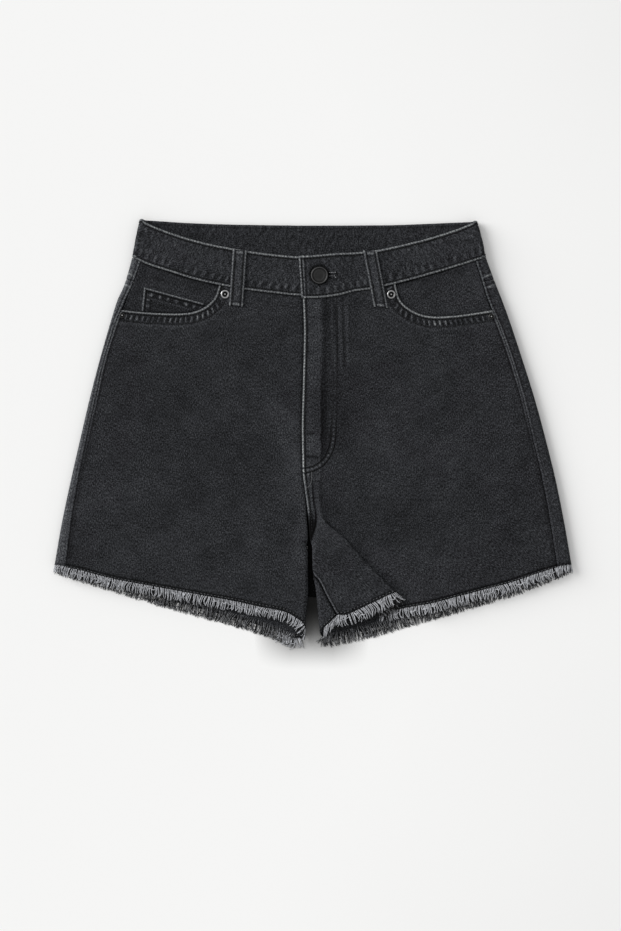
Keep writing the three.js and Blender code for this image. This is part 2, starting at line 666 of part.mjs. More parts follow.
// Inner end of a back row: flat at the centre seam, or round the leg's edge to the inseam
function backInner(side, y) {
  const below = 1 - smooth(CROTCH_Y - CROTCH_FADE, CROTCH_Y, y);
  const flatX = CENTRE_BACK_X + (side * SEAM_GAP) / 2;
  const seam = inseam(side, y) - INSEAM_GAP / 2;
  const half = Math.PI * EDGE_RADIUS;
  const wrapped = smooth(6, 14, seam);
  return steps(INNER_COLUMNS, (s) => {
    const even = lerp(seam, -EDGE_SPAN, s);
    const k = s * INNER_COLUMNS;
    const strip = lerp(seam, half, k / 2);
    const round = lerp(half, 0, (k - 2) / (INNER_COLUMNS - 3));
    const reach = lerp(even, k <= 2 ? strip : k < INNER_COLUMNS ? round : -EDGE_SPAN, wrapped);
    const flat = new THREE.Vector3(flatX + side * (seam - even), y, BACK_Z);
    return flat.lerp(innerEdge(side, y, reach), below);
  });
}

function backPanel(side, table, hem) {
  const hemCurve = planeCurve([...hem].reverse());
  return sectionsOf(table, (down) => {
    const innerY = rail(table, (r) => r.inner)(down);
    const edgeY = rail(table, (r) => r.edge)(down);
    const inner = backInner(side, innerY);
    const start = inner[inner.length - 1];
    const floorY = (s, x) => {
      const line = lerp(start.y, edgeY, s);
      const seamBow = yokeSeam(x) - SEAM_GAP - lerp(table[0].inner, table[0].edge, s);
      const hemBow = hemCurve(s).y - lerp(hemCurve(0).y, hemCurve(1).y, s);
      return line + (1 - down) ** 2 * seamBow + down ** 2 * hemBow;
    };
    return backRow(side, inner, floorY, edgeY, rail(table, (r) => r.seam)(down));
  });
}

// Yokes: between the band and the back panels, wrapping the sides as the back does
function yoke(side) {
  const [topEdge, lowEdge] = [side < 0 ? 179.8 : 180.6, 158.9];
  const [topSeam, lowSeam] = side < 0 ? [177.4, 157.8] : [177.6, 157.2];
  return sections(3, (down) => {
    const edgeY = lerp(topEdge, lowEdge, down);
    const flatX = CENTRE_BACK_X + (side * SEAM_GAP) / 2;
    const inner = [new THREE.Vector3(flatX, lerp(bandSeamBack(flatX) - SEAM_GAP, 112.3, down), BACK_Z)];
    const floorY = (_, x) => {
      const bound = lerp(bandSeamBack(x) - SEAM_GAP, yokeSeam(x) + SEAM_GAP, down);
      return Math.min(bound, edgeY);
    };
    return backRow(side, inner, floorY, edgeY, lerp(topSeam, lowSeam, down));
  });
}

const backLeftGrid = backPanel(-1, BACK_LEFT, HEM_BACK_LEFT);
const backRightGrid = backPanel(1, BACK_RIGHT, HEM_BACK_RIGHT);

// Crotch of the back, the dark cloth seen in the slit between the legs
const CROTCH = { top: -112, bottom: -168, under: 0.7, atCentre: 0.5 };
const crotchGrid = steps(5, (t) => {
  const y = lerp(CROTCH.top, CROTCH.bottom, t);
  const below = 1 - smooth(CROTCH_Y - CROTCH_FADE, CROTCH_Y, y);
  const [left, right] = [-1, 1].map((side) => {
    const [edge, drop] = innerTables[side];
    return lerp(CENTRE_BACK_X + side * CROTCH.atCentre, edge(y + drop(y)) + side * CROTCH.under, below);
  });
  return [left, (left + right) / 2, right].map((x) => new THREE.Vector3(x, y, BACK_Z));
});

// Waistband: one strip from under the button, round the left side, the back and the right side,
// to the buttoned end that laps over
const LAP = { under: 21, overTop: -14.4, overSeam: -9.4, flat: 24, ramp: 46 };
const bandGrid = sections(3, (down) => {
  const over = lerp(LAP.overTop, LAP.overSeam, down);
  const sideY = [lerp(220.8, 181.8, down), lerp(219.0, 181.4, down)];
  const reach = BAND / 2 + BAND_EDGE_RADIUS;
  const bendAt = [edgeX(-1, sideY[0]) + reach, edgeX(1, sideY[1]) - reach];
  const shift = (x) => lerp(x * 0.955, x, down); // the band flares towards its seam
  const front = (x, raise) => {
    const clipped = THREE.MathUtils.clamp(shift(x), bendAt[0], bendAt[1]);
    return new THREE.Vector3(clipped, lerp(bandTopFront(clipped), waistSeam(x), down), BAND_FRONT_Z + raise);
  };
  const turn = (k, fromAngle, toAngle) =>
    steps(5, (s) => {
      const angle = lerp(fromAngle, toAngle, s);
      const outward = k ? 1 : -1;
      return new THREE.Vector3(
        bendAt[k] + outward * BAND_EDGE_RADIUS * Math.sin(angle),
        sideY[k],
        BAND_BACK_Z + BAND_EDGE_RADIUS * (1 - Math.cos(angle)),
      );
    });
  return [
    ...steps(13, (s) => front(lerp(LAP.under, -182, s), 0)),
    ...turn(0, Math.PI, 0),
    ...steps(15, (s) => {
      const x = lerp(bendAt[0], bendAt[1], s);
      return new THREE.Vector3(x, lerp(bandTopBack(x), bandSeamBack(x), down), BAND_BACK_Z);
    }, 1).slice(0, -1),
    ...turn(1, 0, Math.PI),
    ...steps(9, (s) => front(lerp(173, LAP.ramp, s), 0)),
    ...steps(3, (s) => front(lerp(LAP.ramp, LAP.flat, s), BAND_LAP * smooth(0, 1, s)), 1),
    ...steps(3, (s) => front(lerp(LAP.flat, over, s), BAND_LAP), 1),
  ];
});

// Cloth behind each front pocket's opening, sewn in at the waist and the side seam
const POCKET_UNDER = 13; // how far it goes on behind the front panel
const facingZ = (side, x, y) => {
  const nearSide = 1 - smooth(0, 12, Math.abs(x - sideSeamX(side, y)));
  const nearWaist = 1 - smooth(0, 10, waistSeam(x) - y);
  const clear = smooth(134, 144, y) * smooth(100, 116, Math.abs(x));
  return FRONT_Z - LAYER + LAYER * clear * Math.max(nearSide, nearWaist) + waistLift(x, y);
};
function facing(side, edge) {
  const scoop = planeCurve(edge);
  const [start, end] = [scoop(0), scoop(1)];
  return steps(11, (s) => {
    const low = scoop(s);
    const across = (low.x - start.x) / (end.x - start.x);
    return steps(6, (t) => {
      const endX = end.x - side * POCKET_UNDER * t;
      const topY = waistSeam(lerp(sideSeamX(side, 176), endX, across)) - 2 * SEAM_GAP;
      const y = lerp(topY, low.y - POCKET_UNDER * (1 - 0.3 * s), t);
      const x = lerp(sideSeamX(side, y) - side * 2 * SEAM_GAP, endX, across);
      return new THREE.Vector3(x, y, facingZ(side, x, y));
    });
  });
}

// Coin pocket: a patch on the left facing, its foot running into the pocket opening
const COIN = { left: [-173.8, 151.0], foot: -176.4, right: [-112.6, 134.5], cloth: 0.8 };
const coinGrid = (() => {
  const scoop = column(POCKET_LEFT.map(([x, y]) => ({ x, y })), "x", "y");
  return steps(8, (s) => {
    const topX = lerp(COIN.left[0], COIN.right[0], s);
    const footX = lerp(COIN.foot, COIN.right[0], s);
    return steps(3, (t) => {
      const x = lerp(topX, footX, t);
      const y = lerp(lerp(COIN.left[1], COIN.right[1], s), scoop(x) + SEAM_GAP + 1, t);
      return new THREE.Vector3(x, y, facingZ(-1, x, y) + (CLOTH + COIN.cloth) / 2 + SEAM_GAP);
    });
  });
})();

// Shield behind the fly, which makes the raised band beside its edge
const flyShieldGrid = steps(8, (s) => {
  const y = lerp(137, -22, s);
  return [-0.2, 3.4, 7].map((x) => new THREE.Vector3(x, y, FRONT_Z - 0.4 + waistLift(x, y)));
});

// Belt loops. The two front ones arch over the band and are sewn on the panel below it.
const FRONT_LOOPS = [
  { name: "belt_loop_front_left", top: [-75.2, 188.9], foot: [-79.2, 131.2] },
  { name: "belt_loop_front_right", top: [58.6, 187.9], foot: [69.8, 130.2] },
];
const LOOP_HALF = 7.2;
function frontLoop({ top, foot }) {
  return steps(9, (t) => {
    const [x, y] = [lerp(top[0], foot[0], t), lerp(top[1], foot[1], t)];
    const arch = 0.7 * Math.sin(Math.PI * Math.min(1, t * 1.3));
    const onBand = BAND_FRONT_Z + (BAND + LOOP_CLOTH) / 2 + SEAM_GAP + arch;
    const onPanel = FRONT_Z + waistLift(x, y) + (CLOTH + LOOP_CLOTH) / 2 + SEAM_GAP + 0.35;
    const z = lerp(onBand, onPanel, smooth(0.72, 0.86, t));
    return [-1, 0, 1].map((k) => new THREE.Vector3(x + k * LOOP_HALF, y - k * 0.6, z));
  });
}
const BACK_LOOPS = [
  { name: "belt_loop_back_left", x: -118 },
  { name: "belt_loop_back_centre", x: -1 },
  { name: "belt_loop_back_right", x: 114 },
];
const backLoop = ({ x }) =>
  steps(2, (t) => {
    const y = lerp(bandTopBack(x) - 0.5, bandSeamBack(x) - 11, t);
    return [-1, 1].map((k) => new THREE.Vector3(x + k * LOOP_HALF, y, LOOP_CLOTH / 2));
  });

// Frayed hem: a narrow woven strip past the cloth's edge, with strands standing from it
function manifoldOf(geometry) {
  const bare = geometry.clone();
  bare.deleteAttribute("normal");
  bare.deleteAttribute("uv");
  const merged = mergeVertices(bare, 1e-4);
  return new wasm.Manifold(
    new wasm.Mesh({
      numProp: 3,
      vertProperties: new Float32Array(merged.attributes.position.array),
      triVerts: new Uint32Array(merged.index.array),
    }),
  );
}

function geometryOf(solid) {
  const { vertProperties, triVerts } = solid.getMesh();
  const geometry = new THREE.BufferGeometry();
  geometry.setAttribute("position", new THREE.BufferAttribute(new Float32Array(vertProperties), 3));
  geometry.setIndex(new THREE.BufferAttribute(new Uint32Array(triVerts), 1));
  return geometry;
}

function fringe(grid, from, to, droop, hang = 0) {
  const hem = grid[grid.length - 1].slice(from, to);
  const before = grid[grid.length - 2].slice(from, to);
  const last = hem.length - 1;
  const along = hem.map((_, j) =>
    new THREE.Vector3().subVectors(hem[Math.min(last, j + 1)], hem[Math.max(0, j - 1)]).normalize(),
  );
  const away = hem.map((p, j) => {
    const d = new THREE.Vector3().subVectors(p, before[j]);
    d.addScaledVector(along[j], -d.dot(along[j]));
    d.setZ(d.z * 0.3).normalize();
    return d.lerp(new THREE.Vector3(0, -1, 0), hang).normalize();
  });
  const offset = (reach) => hem.map((p, j) => p.clone().addScaledVector(away[j], reach));
  let solid = manifoldOf(wall([offset(SEAM_GAP), offset(SEAM_GAP + FRINGE_STRIP)], FRINGE_CLOTH));
  const length = [0];
  hem.slice(1).forEach((p, j) => length.push(length[j] + p.distanceTo(hem[j])));
  const count = Math.floor(length[last] / STRAND_PITCH);
  for (let n = 0; n < count; n++) {
    const at = STRAND_PITCH * (n + 0.5 + 0.25 * Math.sin(n * 2.4));
    const j = Math.min(last - 1, length.findIndex((d) => d > at) - 1);
    const t = (at - length[j]) / (length[j + 1] - length[j]);
    const root = new THREE.Vector3().lerpVectors(hem[j], hem[j + 1], t);
    const out = new THREE.Vector3().lerpVectors(away[j], away[j + 1], t).normalize();
    const across = new THREE.Vector3().subVectors(hem[j + 1], hem[j]).normalize();
    const up = new THREE.Vector3().crossVectors(across, out).normalize();
    const tip = root
      .clone()
      .addScaledVector(out, FRINGE_LENGTH * (0.86 + 0.14 * Math.sin(n * 5.3)))
      .addScaledVector(across, 0.9 * Math.sin(n * 3.7))
      .add(new THREE.Vector3(0, 0, droop));
    const base = root.clone().addScaledVector(out, SEAM_GAP + FRINGE_STRIP / 2);
    const corners = [
      base.clone().addScaledVector(across, -STRAND_HALF_WIDTH).addScaledVector(up, -STRAND_HALF_HEIGHT),
      base.clone().addScaledVector(across, STRAND_HALF_WIDTH).addScaledVector(up, -STRAND_HALF_HEIGHT),
      base.clone().addScaledVector(up, STRAND_HALF_HEIGHT),
      tip,
    ];
    const strand = new THREE.BufferGeometry();
    strand.setAttribute("position", new THREE.Float32BufferAttribute(corners.flatMap((p) => p.toArray()), 3));
    strand.setIndex([0, 2, 1, 0, 1, 3, 1, 2, 3, 2, 0, 3]);
    solid = solid.add(manifoldOf(facingOut(strand)));
  }
  return geometryOf(solid);
}

// Materials
const denim = new THREE.MeshStandardMaterial({ color: 0x2c2d30, roughness: 0.92, metalness: 0 });
const denimFacing = new THREE.MeshStandardMaterial({ color: 0x26272a, roughness: 0.92, metalness: 0 });
const frayed = new THREE.MeshStandardMaterial({ color: 0x8c8d90, roughness: 0.95, metalness: 0 });
const darkMetal = new THREE.MeshStandardMaterial({ color: 0x2a2a29, roughness: 0.45, metalness: 0.8 });
const agedMetal = new THREE.MeshStandardMaterial({ color: 0x8a8a85, roughness: 0.4, metalness: 0.9 });

const shorts = new THREE.Group();
function piece(name, geometry, material) {
  const mesh = new THREE.Mesh(geometry, material);
  mesh.name = name;
  shorts.add(mesh);
  return mesh;
}

const frontLeft = piece("front_left", wall(frontLeftGrid, CLOTH), denim);
const frontRight = piece("front_right", wall(frontRightGrid, CLOTH), denim);
piece("back_left", wall(backLeftGrid, CLOTH), denim);
piece("back_right", wall(backRightGrid, CLOTH), denim);
piece("crotch", wall(crotchGrid, CLOTH), denim);
piece("yoke_left", wall(yoke(-1), CLOTH), denim);
piece("yoke_right", wall(yoke(1), CLOTH), denim);
const waistband = piece("waistband", wall(bandGrid, BAND), denim);
piece("pocket_facing_left", wall(facing(-1, POCKET_LEFT), CLOTH), denimFacing);
piece("pocket_facing_right", wall(facing(1, POCKET_RIGHT), CLOTH), denimFacing);
piece("coin_pocket", wall(coinGrid, COIN.cloth), denim);
piece("fly_shield", wall(flyShieldGrid, CLOTH), denimFacing);
FRONT_LOOPS.forEach((loop) => piece(loop.name, wall(frontLoop(loop), LOOP_CLOTH), denim));
BACK_LOOPS.forEach((loop) => piece(loop.name, wall(backLoop(loop), LOOP_CLOTH), denim));

for (const [name, side] of [["back_pocket_left", -1], ["back_pocket_right", 1]]) {
  const { centre: middle, top, bottom, halfTop, halfBottom, point, cloth } = BACK_POCKET;
  const outline = new THREE.Shape(
    [
      [-halfTop, top],
      [halfTop, top],
      [halfBottom, bottom + point],
      [0, bottom],
      [-halfBottom, bottom + point],
    ].map(([x, y]) => new THREE.Vector2(side * middle + x, y)),
  );
  piece(name, new THREE.ExtrudeGeometry(outline, { depth: cloth, bevelEnabled: false }), denim);
}

const pleatStart = SIDE_COLUMNS + MIDDLE_COLUMNS;
const pleatMiddle = [pleatStart + PLEAT_TURN, pleatStart + PLEAT_TURN + 2];
const pleatEnd = pleatStart + 2 * PLEAT_TURN + 1;
piece("fringe_front_left", fringe(frontLeftGrid, 0, -EDGE_COLUMNS, -0.3), frayed);
piece("fringe_front_right", fringe(frontRightGrid, 0, pleatStart + 1, -0.3), frayed);
piece("fringe_pleat_middle", fringe(frontRightGrid, ...pleatMiddle, -0.3), frayed);
piece("fringe_pleat_top", fringe(frontRightGrid, pleatEnd, undefined, -0.3), frayed);
piece("fringe_back_left", fringe(backLeftGrid, 4, undefined, 0), frayed);
piece("fringe_back_right", fringe(backRightGrid, INNER_COLUMNS - 1, undefined, 0), frayed);
piece("fringe_inseam_right", fringe(backRightGrid, 0, 3, 0, 1), frayed);

// Metal: highest point of a cloth mesh under a small round piece
function topUnder(meshes, x, y, radius) {
  const ray = new THREE.Raycaster();
  let high = 0;
  for (const dx of [-1, -0.5, 0, 0.5, 1])
    for (const dy of [-1, -0.5, 0, 0.5, 1]) {
      ray.set(new THREE.Vector3(x + dx * radius, y + dy * radius, 50), new THREE.Vector3(0, 0, -1));
      const [hit] = ray.intersectObjects(meshes);
      if (hit) high = Math.max(high, hit.point.z);
    }
  return high;
}

function turned(name, profile, segments, x, y, under, radius, material) {
  const outline = profile.map(([r, z]) => new THREE.Vector2(r, z));
  const mesh = piece(name, new THREE.LatheGeometry(outline, segments).rotateX(Math.PI / 2), material);
  mesh.position.set(x, y, topUnder(under, x, y, radius) + SEAM_GAP);
}

// Button: flat shank cap with a rolled rim and a shallow dished face
const BUTTON = [
  [0, 0],
  [5.2, 0],
  [5.2, 1.0],
  [8.4, 1.0],
  [9.1, 1.6],
  [9.1, 2.3],
  [8.5, 2.9],
  [7.7, 3.0],
  [7.0, 2.5],
  [0, 2.3],
];
turned("button", BUTTON, 28, 5.9, 165.0, [waistband], 9.1, darkMetal);
const RIVET = [
  [0, 0], [4.4, 0], [4.5, 0.5], [3.9, 1.1], [2.9, 1.1], [2.2, 0.5], [1.4, 0.5], [1.1, 1.0], [0, 1.2],
];
turned("rivet_left", RIVET, 16, -90.4, 143.6, [frontLeft], 4.5, agedMetal);
turned("rivet_right", RIVET, 16, 80.4, 143.4, [frontRight], 4.5, agedMetal);
const SMALL_RIVET = [[0, 0], [2.9, 0], [2.9, 0.5], [2.3, 0.9], [0.9, 0.8], [0, 1.1]];
turned("rivet_side_left", SMALL_RIVET, 12, -196.2, 122.0, [frontLeft], 2.9, darkMetal);
turned("rivet_side_right", SMALL_RIVET, 12, 183.4, 120.8, [frontRight], 2.9, darkMetal);

export default shorts;
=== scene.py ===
# Looks of the denim shorts, laid flat on their back. Every length here is in millimetres until
# a mesh is written. Left and right are the laid-out left (-X) and right (+X).
import math

import bmesh
import bpy
import numpy as np
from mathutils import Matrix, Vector
from mathutils.bvhtree import BVHTree


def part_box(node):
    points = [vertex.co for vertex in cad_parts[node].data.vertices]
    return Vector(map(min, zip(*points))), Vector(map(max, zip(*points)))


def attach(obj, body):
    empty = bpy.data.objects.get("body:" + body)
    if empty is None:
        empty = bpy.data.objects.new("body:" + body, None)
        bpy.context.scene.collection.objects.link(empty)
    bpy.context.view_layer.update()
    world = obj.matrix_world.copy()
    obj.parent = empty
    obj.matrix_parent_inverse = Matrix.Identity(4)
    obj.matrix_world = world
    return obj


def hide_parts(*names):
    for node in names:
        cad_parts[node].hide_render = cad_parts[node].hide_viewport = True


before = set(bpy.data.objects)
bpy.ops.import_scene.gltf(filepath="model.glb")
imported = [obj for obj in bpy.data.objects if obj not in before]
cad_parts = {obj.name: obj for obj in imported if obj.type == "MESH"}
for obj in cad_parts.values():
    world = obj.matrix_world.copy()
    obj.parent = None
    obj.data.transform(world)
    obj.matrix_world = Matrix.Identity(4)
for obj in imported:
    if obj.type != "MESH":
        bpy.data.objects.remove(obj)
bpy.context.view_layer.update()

MM = 0.001

# Sizes shared with the solids
CLOTH = 1.0
BAND = 2.0
SEAM_GAP = 0.3
LAYER = CLOTH + SEAM_GAP
BACK_Z = CLOTH / 2
EDGE_RADIUS = 3.2
FRONT_Z = BACK_Z + 2 * EDGE_RADIUS
LOOP_CLOTH = 1.0
WAIST_LIFT = LOOP_CLOTH + SEAM_GAP
LIFT_REACH = 40
BAND_BACK_Z = WAIST_LIFT + BAND / 2
BAND_EDGE_RADIUS = (FRONT_Z + WAIST_LIFT - BAND_BACK_Z) / 2
BAND_FRONT_Z = BAND_BACK_Z + 2 * BAND_EDGE_RADIUS
BAND_LAP = BAND + SEAM_GAP
CROTCH_Y = -106
CROTCH_FADE = 16
INSEAM_GAP = 0.6
SLIT = 1.5
UNDERLAP = 8
EDGE_SPAN = 9.5
PLEAT_RADIUS = 1.45
POCKET_UNDER = 13
CENTRE_BACK_X = -2
YOKE_FOOT = 112.3
LOOP_HALF = 7.2
LOOP_ARCH = 0.7

# y, left edge, left strip, right edge, right strip
SIDES = [
    (221, -178.4, 10.4, 168.4, 12.2),
    (200, -182.9, 10.4, 174.2, 12.2),
    (181, -186.4, 10.2, 178.3, 12.2),
    (166, -190.4, 9.4, 183.7, 12.6),
    (152, -194.9, 8.6, 189.0, 13.6),
    (138, -201.3, 8.4, 194.6, 14.6),
    (114, -208.9, 5.9, 203.3, 12.8),
    (76, -219.8, 4.9, 215.8, 11.6),
    (37, -229.9, 6.4, 228.1, 12.2),
    (-3, -239.3, 6.9, 239.0, 13.4),
    (-46, -249.1, 7.9, 249.6, 13.9),
    (-93, -259.0, 10.0, 259.1, 14.7),
    (-138, -266.8, 12.2, 266.8, 15.4),
]
# y, x
CENTRE = [
    (143, -10.5), (107, -9.2), (51, -10.3), (6, -11.4), (-20, -11.0),
    (-38, -10.6), (-54, -8.8), (-69, -6.7), (-84, -5.0), (-106, -3.4),
]
# y, edge, drop of the back, reach of the inseam
INNER = {
    -1: [
        (-106, -5.6, 0, 0.6), (-130, -5.3, 3, 0.6), (-158, -5.0, 8.3, 0.6), (-176, -6.8, 12.4, 0.6),
        (-194, -7.8, 17, 0.6),
    ],
    1: [
        (-106, -2.2, 0, 0.6), (-120, -1.0, 3, 0.6), (-131, -0.8, 6, 2.6), (-142, 0.2, 10, 6.8),
        (-152, 2.6, 13, 10.7), (-165, 4.4, 17, 15.3), (-187, 7.2, 23, 24.4),
    ],
}
# x, y
WAIST_SEAM = [
    (-187, 182.2), (-169, 173.9), (-144, 165.8), (-124, 159.5), (-98, 153.5),
    (-72, 148.8), (-40, 144.8), (-12, 142.2), (2, 142.3), (32, 145.6),
    (58, 148.6), (77, 152.6), (115, 162.4), (145, 171.3), (178, 181.6),
]
BAND_TOP_FRONT = [
    (-179, 220.6), (-157, 210.8), (-121, 199.0), (-83, 190.8), (-40, 184.6), (-12, 182.4), (18, 184.6),
    (65, 188.9), (92, 194.6), (115, 200.2), (145, 209.4), (169, 218.8),
]
BAND_TOP_BACK = [
    (-179, 220.6), (-119, 217.0), (-72, 215.6), (0, 214.8), (77, 215.2), (123, 216.8), (169, 218.8),
]
YOKE_SEAM = [(-190.4, 158.6), (-110, 131.0), (-2, 112.0), (110, 131.0), (184, 158.6)]
POCKET = {
    -1: [
        (-195.6, 127.5), (-182.4, 126.0), (-158.7, 124.3), (-135.1, 124.0),
        (-122.6, 125.6), (-109.9, 131.2), (-100.8, 140.6), (-96.6, 152.6),
    ],
    1: [
        (183.4, 127.0), (167.9, 124.6), (145.2, 121.6), (122.6, 120.8),
        (110.5, 123.1), (98.4, 129.2), (89.3, 138.2), (84.6, 154.2),
    ],
}
HEM = {
    -1: [(-122.5, -161.0), (-64.4, -172.0), (-26.0, -183.4), (-10.2, -194.0)],
    1: [(120.0, -171.4), (97.0, -175.4), (80.0, -179.4), (64.9, -183.6)],
}
# Heights in the next two tables are from the front's own level.
# side, mid x, mid y, inner, inner height
FRONT_LEFT = [
    (127.6, -96.6, 152.6, 141.6, -0.4),
    (85, -100, 95, 92, -0.4),
    (38, -105, 42, 38, -0.4),
    (-8, -110, -10, -15, -0.4),
    (-48, -115, -55, -62, -0.4),
    (-86, -118.6, -97, -106, -0.2),
    (-100, -120, -115, -125, 0),
    (-114, -121, -133, -150, 0),
    (-126, -121.9, -148, -172, 0),
    (-136.9, -122.5, -161, -194, 0),
]
# side, mid x, mid y, valley x y height, ridge x y height, inner, inner height
FRONT_RIGHT = [
    (127.2, 84.6, 154.2, 15.5, 143.2, 0.2, 9.5, 142.5, 0.9, 142, 0.9),
    (78, 90, 92, 15, 82, 0, 9, 82, 0.9, 82, 0.9),
    (24, 96, 26, 14.2, 20, -0.1, 8.6, 20, 0.9, 20, 0.9),
    (-24, 102, -28, 13, -24, -0.3, 7.4, -24, 0.9, -26, 0.9),
    (-54, 106, -64, 11, -57, -0.9, 5.6, -57, 1, -56, 0.9),
    (-76, 109, -92, 13.4, -87, -2.3, 7.8, -83, 1, -81, 0.2),
    (-95, 112, -116, 27.6, -115, -4.5, 33, -107.5, 0.9, -106, -0.1),
    (-101.4, 113.2, -124, 33.5, -127.4, -5.1, 41.6, -117.3, 0.7, -118, 0),
    (-106.7, 114.2, -130.7, 38.5, -137.7, -5.1, 48.8, -125.5, 0.7, -128, 0),
    (-111, 115, -136, 42.4, -146, -5.1, 54.5, -132, 0.7, -136, 0),
    (-115.5, 115.8, -141.8, 46.1, -152.2, -5.1, 59.5, -137.1, 0.7, -144, 0),
    (-121.1, 116.8, -149, 50.8, -160, -5.1, 65.7, -143.5, 0.7, -154, 0),
    (-129.2, 118.4, -160, 57.8, -171.8, -5.1, 75.5, -153.4, 0.7, -170, 0),
    (-137, 120, -171.4, 64.9, -183.6, -5.1, 85.8, -163.6, 0.7, -187, 0),
]
# edge, seam, inner
BACK = {
    -1: [
        (158.3, 157.2, 111.7), (128.4, 127.6, 88), (85.6, 85, 50), (38.4, 38, 12), (-7.6, -8, -25),
        (-47.6, -48, -66), (-85.6, -86, -106), (-99.4, -100, -125), (-113.2, -114, -150),
        (-125.1, -126, -172), (-135.6, -136.9, -194),
    ],
    1: [
        (158.3, 156.6, 111.7), (128, 127.2, 88), (78.4, 78, 45), (24.4, 24, 0), (-23.6, -24, -38),
        (-53.6, -54, -64), (-75.4, -76, -84), (-94.4, -95, -106), (-100.7, -101.4, -118),
        (-105.9, -106.7, -128), (-110.1, -111, -136), (-114.5, -115.5, -144), (-119.9, -121.1, -154),
        (-127.8, -129.2, -170), (-135.4, -137, -187),
    ],
}
HEM_BACK = {
    -1: [(-263.5, -136), (-219, -149.5), (-143, -171.5), (-64, -192), (-30, -202.5), (-10.3, -211)],
    1: [(264.4, -136), (226.6, -151.6), (177, -167), (87.6, -191.4), (45.3, -202.6), (9.5, -210)],
}
# from x y, to x y, width, height
FOLDS = [
    (-12, -62, -78, -158, 15, 0.75),
    (-30, -70, -150, -120, 22, 0.35),
    (-95, 120, -70, -10, 30, 0.4),
    (-150, 70, -185, -90, 34, 0.45),
    (-28, 120, -24, 10, 7, -0.3),
    (26, 138, 28, 30, 5, -0.4),
    (40, 138, 44, 70, 6, 0.35),
    (110, 100, 150, -60, 36, 0.5),
    (92, -60, 150, -140, 20, 0.5),
    (195, 40, 222, -100, 16, 0.3),
]


def lerp(a, b, t):
    return a + (b - a) * t


def smooth(a, b, x):
    t = np.clip((np.asarray(x, float) - min(a, b)) / abs(b - a), 0, 1)
    return t * t * (3 - 2 * t)


def bell(x, at, width):
    return np.exp(-(((x - at) / width) ** 2))


def column(keys, values):
    """Smooth curve through a table, straight beyond its ends."""
    order = np.argsort(keys)
    x = np.asarray(keys, float)[order]
    y = np.asarray(values, float)[order]
    step = np.diff(x)
    rise = np.diff(y) / step
    product = rise[:-1] * rise[1:]
    total = np.where(product > 0, rise[:-1] + rise[1:], 1)
    middle = np.where(product > 0, 2 * product / total, 0)
    slope = np.concatenate([[rise[0]], middle, [rise[-1]]])

    def read(at):
        at = np.asarray(at, float)
        i = np.clip(np.searchsorted(x, at, side="right") - 1, 0, len(x) - 2)
        t = (at - x[i]) / step[i]
        inside = (
            y[i] * (1 + 2 * t) * (1 - t) ** 2
            + slope[i] * step[i] * t * (1 - t) ** 2
            + y[i + 1] * t * t * (3 - 2 * t)
            + slope[i + 1] * step[i] * t * t * (t - 1)
        )
        before = y[0] + slope[0] * (at - x[0])
        after = y[-1] + slope[-1] * (at - x[-1])
        return np.where(at <= x[0], before, np.where(at >= x[-1], after, inside))

    return read


def rails(table):
    """Every column of a table as a curve, read from 0 at its first row to 1 at its last."""
    share = np.linspace(0, 1, len(table))
    return [column(share, values) for values in zip(*table)]


def run_length(line):
    """Length along a line at each of its points."""
    return np.concatenate([[0], np.cumsum(np.linalg.norm(np.diff(line, axis=0), axis=1))])


def read_at(at, length, values):
    """Values at the points of a line, read at places along it."""
    return np.stack([np.interp(at, length, part) for part in np.transpose(values)], axis=-1)


def plane_curve(corners):
    """Smooth plane curve through points, by share of its length."""
    p = np.asarray(corners, float)
    p = np.vstack([2 * p[0] - p[1], p, 2 * p[-1] - p[-2]])
    t = np.linspace(0, 1, 60, endpoint=False)[:, None]
    line = []
    for a, b, c, d in zip(p, p[1:], p[2:], p[3:]):
        u, v, w = (math.sqrt(math.dist(m, n)) for m, n in ((a, b), (b, c), (c, d)))
        start = ((b - a) / u - (c - a) / (u + v) + (c - b) / v) * v
        end = ((c - b) / v - (d - b) / (v + w) + (d - c) / w) * v
        line.append(
            b + start * t + (3 * (c - b) - 2 * start - end) * t**2 + (2 * (b - c) + start + end) * t**3
        )
    line = np.vstack([*line, p[-2:-1]])
    length = run_length(line)
    return lambda at: read_at(at, length / length[-1], line)


side_y, left_edge_x, left_strip, right_edge_x, right_strip = zip(*SIDES)
LEFT_EDGE = column(side_y, left_edge_x)
RIGHT_EDGE = column(side_y, right_edge_x)
LEFT_STRIP = column(side_y, left_strip)
RIGHT_STRIP = column(side_y, right_strip)
centre_x = column(*zip(*CENTRE))
waist_seam = column(*zip(*WAIST_SEAM))
band_top_front = column(*zip(*BAND_TOP_FRONT))
band_top_back = column(*zip(*BAND_TOP_BACK))
yoke_seam = column(*zip(*YOKE_SEAM))
inner_tables = {}
for side, table in INNER.items():
    heights, *others = zip(*table)
    inner_tables[side] = [column(heights, values) for values in others]


def band_seam_back(x):
    return 175 + 6.9 * (x / 182) ** 2


def edge_x(side, y):
    return LEFT_EDGE(y) if side < 0 else RIGHT_EDGE(y)


def side_seam_x(side, y):
    return LEFT_EDGE(y) + LEFT_STRIP(y) if side < 0 else RIGHT_EDGE(y) - RIGHT_STRIP(y)


def waist_lift(x, y):
    return WAIST_LIFT * (1 - smooth(0, LIFT_REACH, waist_seam(x) - y))


def fold_height(x, y):
    total = 0
    for x0, y0, x1, y1, width, height in FOLDS:
        dx, dy = x1 - x0, y1 - y0
        t = np.clip(((x - x0) * dx + (y - y0) * dy) / (dx * dx + dy * dy), 0, 1)
        away = np.hypot(x - x0 - t * dx, y - y0 - t * dy) / width
        total += height * np.exp(-away * away)
    return total


def points(x, y, z):
    return np.stack(np.broadcast_arrays(x, y, z), axis=-1).astype(float)


